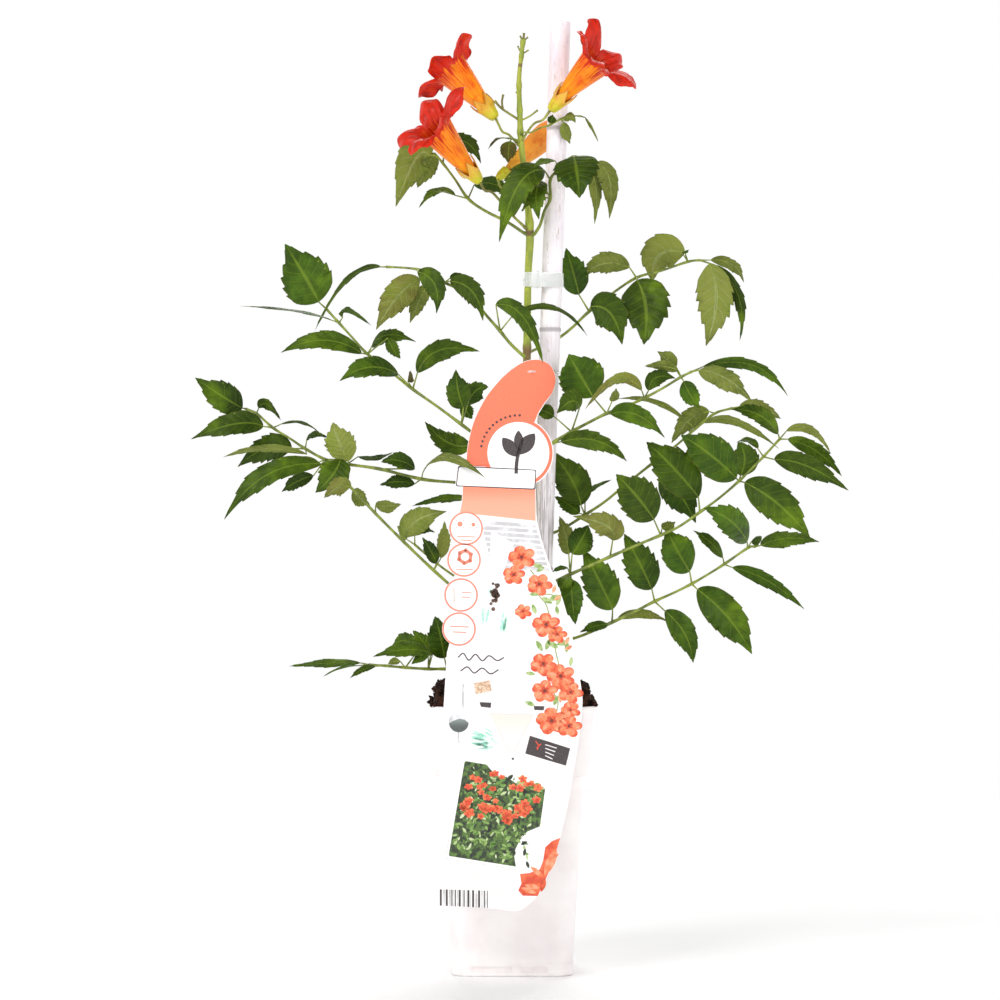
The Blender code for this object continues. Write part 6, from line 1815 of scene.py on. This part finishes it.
    def extras(self) -> None:
        """Small pale shapes strewn between the panels: brush strokes, a cone, a reel and a round scoop."""
        draw = np.random.default_rng(8)
        mint = []
        for x, z, s, a in ((-29, 181, 13, -20), (-30, 178, 15, -14), (-29, 174, 16, -8), (-27, 171, 14, 4),
                           (-24, 168, 12, 16), (-20, 183, 9, -30), (-16, 178, 7, -40), (-21, 261, 15, 82),
                           (-7, 254, 18, 78), (-17, 282, 8, 60)):
            for k in range(3):
                dx, dz, da = draw.uniform(-1.6, 1.6, 3)
                mint.append(blade_shape(x + dx, z + dz, s * draw.uniform(0.7, 1), s * 0.12, a + 5 * da))
        self.ink("mint", mint, 0.09, "#9fe6cb", "#d8f6ea", blotch_mm=4.0)
        places = zip(draw.normal(-12.4, 1.5, 34), draw.normal(283, 3.4, 34))
        seeds = [disc(*spot, draw.uniform(1.0, 1.8), 9) for spot in places]
        self.ink("brown", seeds, 0.15, "#35221a", "#7a5a48", blotch_mm=1.6)
        reel = [[(-28.5, 217.4), (-16.5, 219.6), (-15.0, 211.6), (-26.8, 209.2)]]
        self.ink("tan", reel, 0.09, "#ecd3ba", "#c79c78", blotch_mm=1.8)
        cone = [[(-16, 195), (16, 194), (1.4, 166.5), (-2.2, 166.5)]]
        self.ink("cone", cone, 0.05, "#fbf6f2", "#efe3da", (166, 190))
        edge = [stroke([(-16, 195), (-2.2, 166.8)], 0.5), stroke([(16, 194), (1.4, 166.8)], 0.5),
                stroke([(-16, 195), (16, 194)], 0.7)]
        self.ink("cone_edge", edge, 0.08, "#d6c9c2", "#e2d8d2", (166, 190))
        heap = [(-35, 190.5), (-39, 191.2), (-43.5, 189.6)]
        bowl = [np.vstack([arc(-39.4, 188.5, 7.3, 185, 355, 20), heap])]
        self.ink("bowl", bowl, 0.14, "#4d5552", "#8f9a96", (182, 191))
        tile = [stroke([(17.5, 174.6), (19.5, 171.2), (18.6, 168.2)], 0.8),
                stroke([(21.6, 172.6), (18.2, 169.6)], 0.8)]
        self.ink("tile_sprig", tile, 0.26, "#e8492c")
        lines = [stroke([(24.6, 172.0 - 2.7 * k), (33.0 - k, 169.4 - 2.7 * k)], 0.7) for k in range(4)]
        self.ink("tile_lines", lines, 0.26, "#f4f1f0")
        strip = [rounded_box([(-29.0, 80.2), (-26.0, 78.0), (2.6, 52.0), (0.0, 50.6), (-29.6, 74.5)], 0.6)]
        self.ink("strip", strip, 0.08, "#f1ecea", "#f7f3f1", blotch_mm=6.0)


@dataclass(frozen=True)
class Studio:
    """Round pale floor, a bright plain surround, soft lights and a camera at the photograph's angle."""

    floor_radius: float = 1500.0
    floor_sides: int = 96
    fade: tuple[float, float] = (0.45, 1.35)
    dome: tuple[float, ...] = (0.2, 0.6, 1.0, 0.35)

    def build(self) -> None:
        """Set the scene round the plant."""
        scene = bpy.context.scene
        scene.view_settings.view_transform = "Standard"
        skin = Skin("floor")
        t = np.linspace(0, 2 * np.pi, self.floor_sides, endpoint=False)
        edge = np.stack([np.cos(t), np.sin(t), 0 * t], -1) * self.floor_radius
        skin.patch(edge, [list(range(self.floor_sides))])
        painter = Painter("studio_floor", roughness=0.7)
        colour = painter.lay("#fdfdfd", "#ffffff", painter.mottle(400.0), (0.3, 0.7))
        # out where nothing stands the floor glows as white as the surround, so no horizon shows
        reach = painter.add("VectorMath", (painter.place.outputs["Object"],), operation="LENGTH")
        glow = painter.add("MapRange", (reach.outputs[1], *self.fade), **SOFT)
        wire(painter.shader, {"Emission Strength": glow})
        floor = skin.build([painter.finish(colour)])
        world = bpy.data.worlds.new("soft_world")
        scene.world = world
        world.use_nodes = True
        back = world.node_tree.nodes["Background"]
        back.inputs[0].default_value = rgba("#ffffff")
        # the surround is white at and below eye level and dims overhead, so that forms keep some shading
        way = add(world.node_tree, "TexCoord")
        rise = add(world.node_tree, "SeparateXYZ", (way.outputs[0],))
        dome = add(world.node_tree, "MapRange", (rise.outputs[2], *self.dome), **SOFT)
        wire(back, {1: dome})
        self.light("key_light", (-1.3, -1.7, 2.0), 1.0, 33.0)
        self.light("fill_light", (1.6, -1.8, 0.9), 1.4, 12.0)
        self.light("back_light", (0.2, 1.6, 1.7), 1.4, 24.0)
        camera = bpy.data.cameras.new("photo_camera")
        camera.sensor_width = SENSOR_MM
        camera.lens = SENSOR_MM * -VIEWER[1] / IMAGE_WIDTH_MM
        camera.clip_start, camera.clip_end = 0.05, 50.0
        eye = bpy.data.objects.new("photo_camera", camera)
        eye.location = (VIEWER * MM).tolist()
        eye.rotation_euler = (math.pi / 2, 0.0, 0.0)
        scene.collection.objects.link(eye)
        scene.camera = eye

    def light(self, name: str, place: Place, size: float, power: float,
              target: Place = (0.0, 0.0, 0.36)) -> None:
        """Add a square area light.

        Args:
            name: its name.
            place: its place in metres.
            size: its side in metres.
            power: its power in watts.
            target: the place that it is aimed at, in metres.
        """
        lamp = bpy.data.lights.new(name, "AREA")
        lamp.shape, lamp.size, lamp.energy = "SQUARE", size, power
        thing = bpy.data.objects.new(name, lamp)
        thing.location = place
        aim = np.array(target) - np.array(place)
        tilt = math.atan2(math.hypot(aim[0], aim[1]), -aim[2])
        thing.rotation_euler = (tilt, 0.0, math.atan2(aim[0], -aim[1]) + math.pi)
        bpy.context.scene.collection.objects.link(thing)


def main() -> None:
    """Build each part of the plant in order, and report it."""
    logging.basicConfig(level=logging.INFO, format="%(name)s %(message)s")
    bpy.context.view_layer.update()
    Studio().build()
    Pot().build(PotFinish().make())
    Soil().build(SoilFinish().make())
    cane = Cane()
    cane.build(CaneFinish().make())
    stem = Stem()
    browned = ((452, 13), (543, 3), (380, 9), (667, 2), (219, 16), (280, 7), (314, 6))
    bark = StalkFinish("main_stem_bark", "#a9b23a", "#7f9130", "#6a4a2a", browned)
    stem.build(bark.make(), StalkFinish("flower_stalk", "#9aa23c", "#6f6b30", "#5a3c22").make())
    leaf, stalk = LeafFinish().make(), StalkFinish().make()
    for number, frond in enumerate(FRONDS):
        anchor = stem.at(float(seen(np.array(frond.route[0]))[2]) - 2.0)
        frond.build(leaf, stalk, anchor, 100 + number)
    petal, flesh = PetalFinish().make(), CalyxFinish().make()
    for bloom in BLOOMS:
        bloom.corolla(petal)
        bloom.calyx(flesh)
    Bud().build(PetalFinish("bud_petal", "#e8b63a", "#f39a3a", "#ee7a2a", "#f0702a").make(), flesh)
    spot, post = seen((11.8, -9, 515.5)), cane.at(509.0)
    cane_reach = 8.1
    round_both = ((spot[0], spot[1], 3.1), (post[0], post[1], cane_reach))
    clip = Strap("stem_clip_band", "stem_clip", round_both, low=503.5, high=514.5)
    clip.build(ClearFinish().make(), (19.2, -10.2))
    card = Card()
    spot, post = seen((10.9, -9, 447.4)), cane.at(440.9)
    front = card.place(np.array(card.hole[:2]))
    card_edge = (front[0] - 1.0, front[1] - 0.3, 0.9)
    round_all = ((spot[0], spot[1], 3.3), (post[0], post[1], cane_reach), card_edge)
    tie = Strap("label_tie_band", "label_tie", round_all, low=440.0, high=441.8)
    tie.build(ClearFinish("tie_plastic", "#f3f1ee").make())
    card.sheet(InkFinish("coated_card", "#fcf9f8", "#f8f3f3", (60, 330)).make())
    Artwork(card).build()


if __name__ == "__main__":
    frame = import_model()
    main()
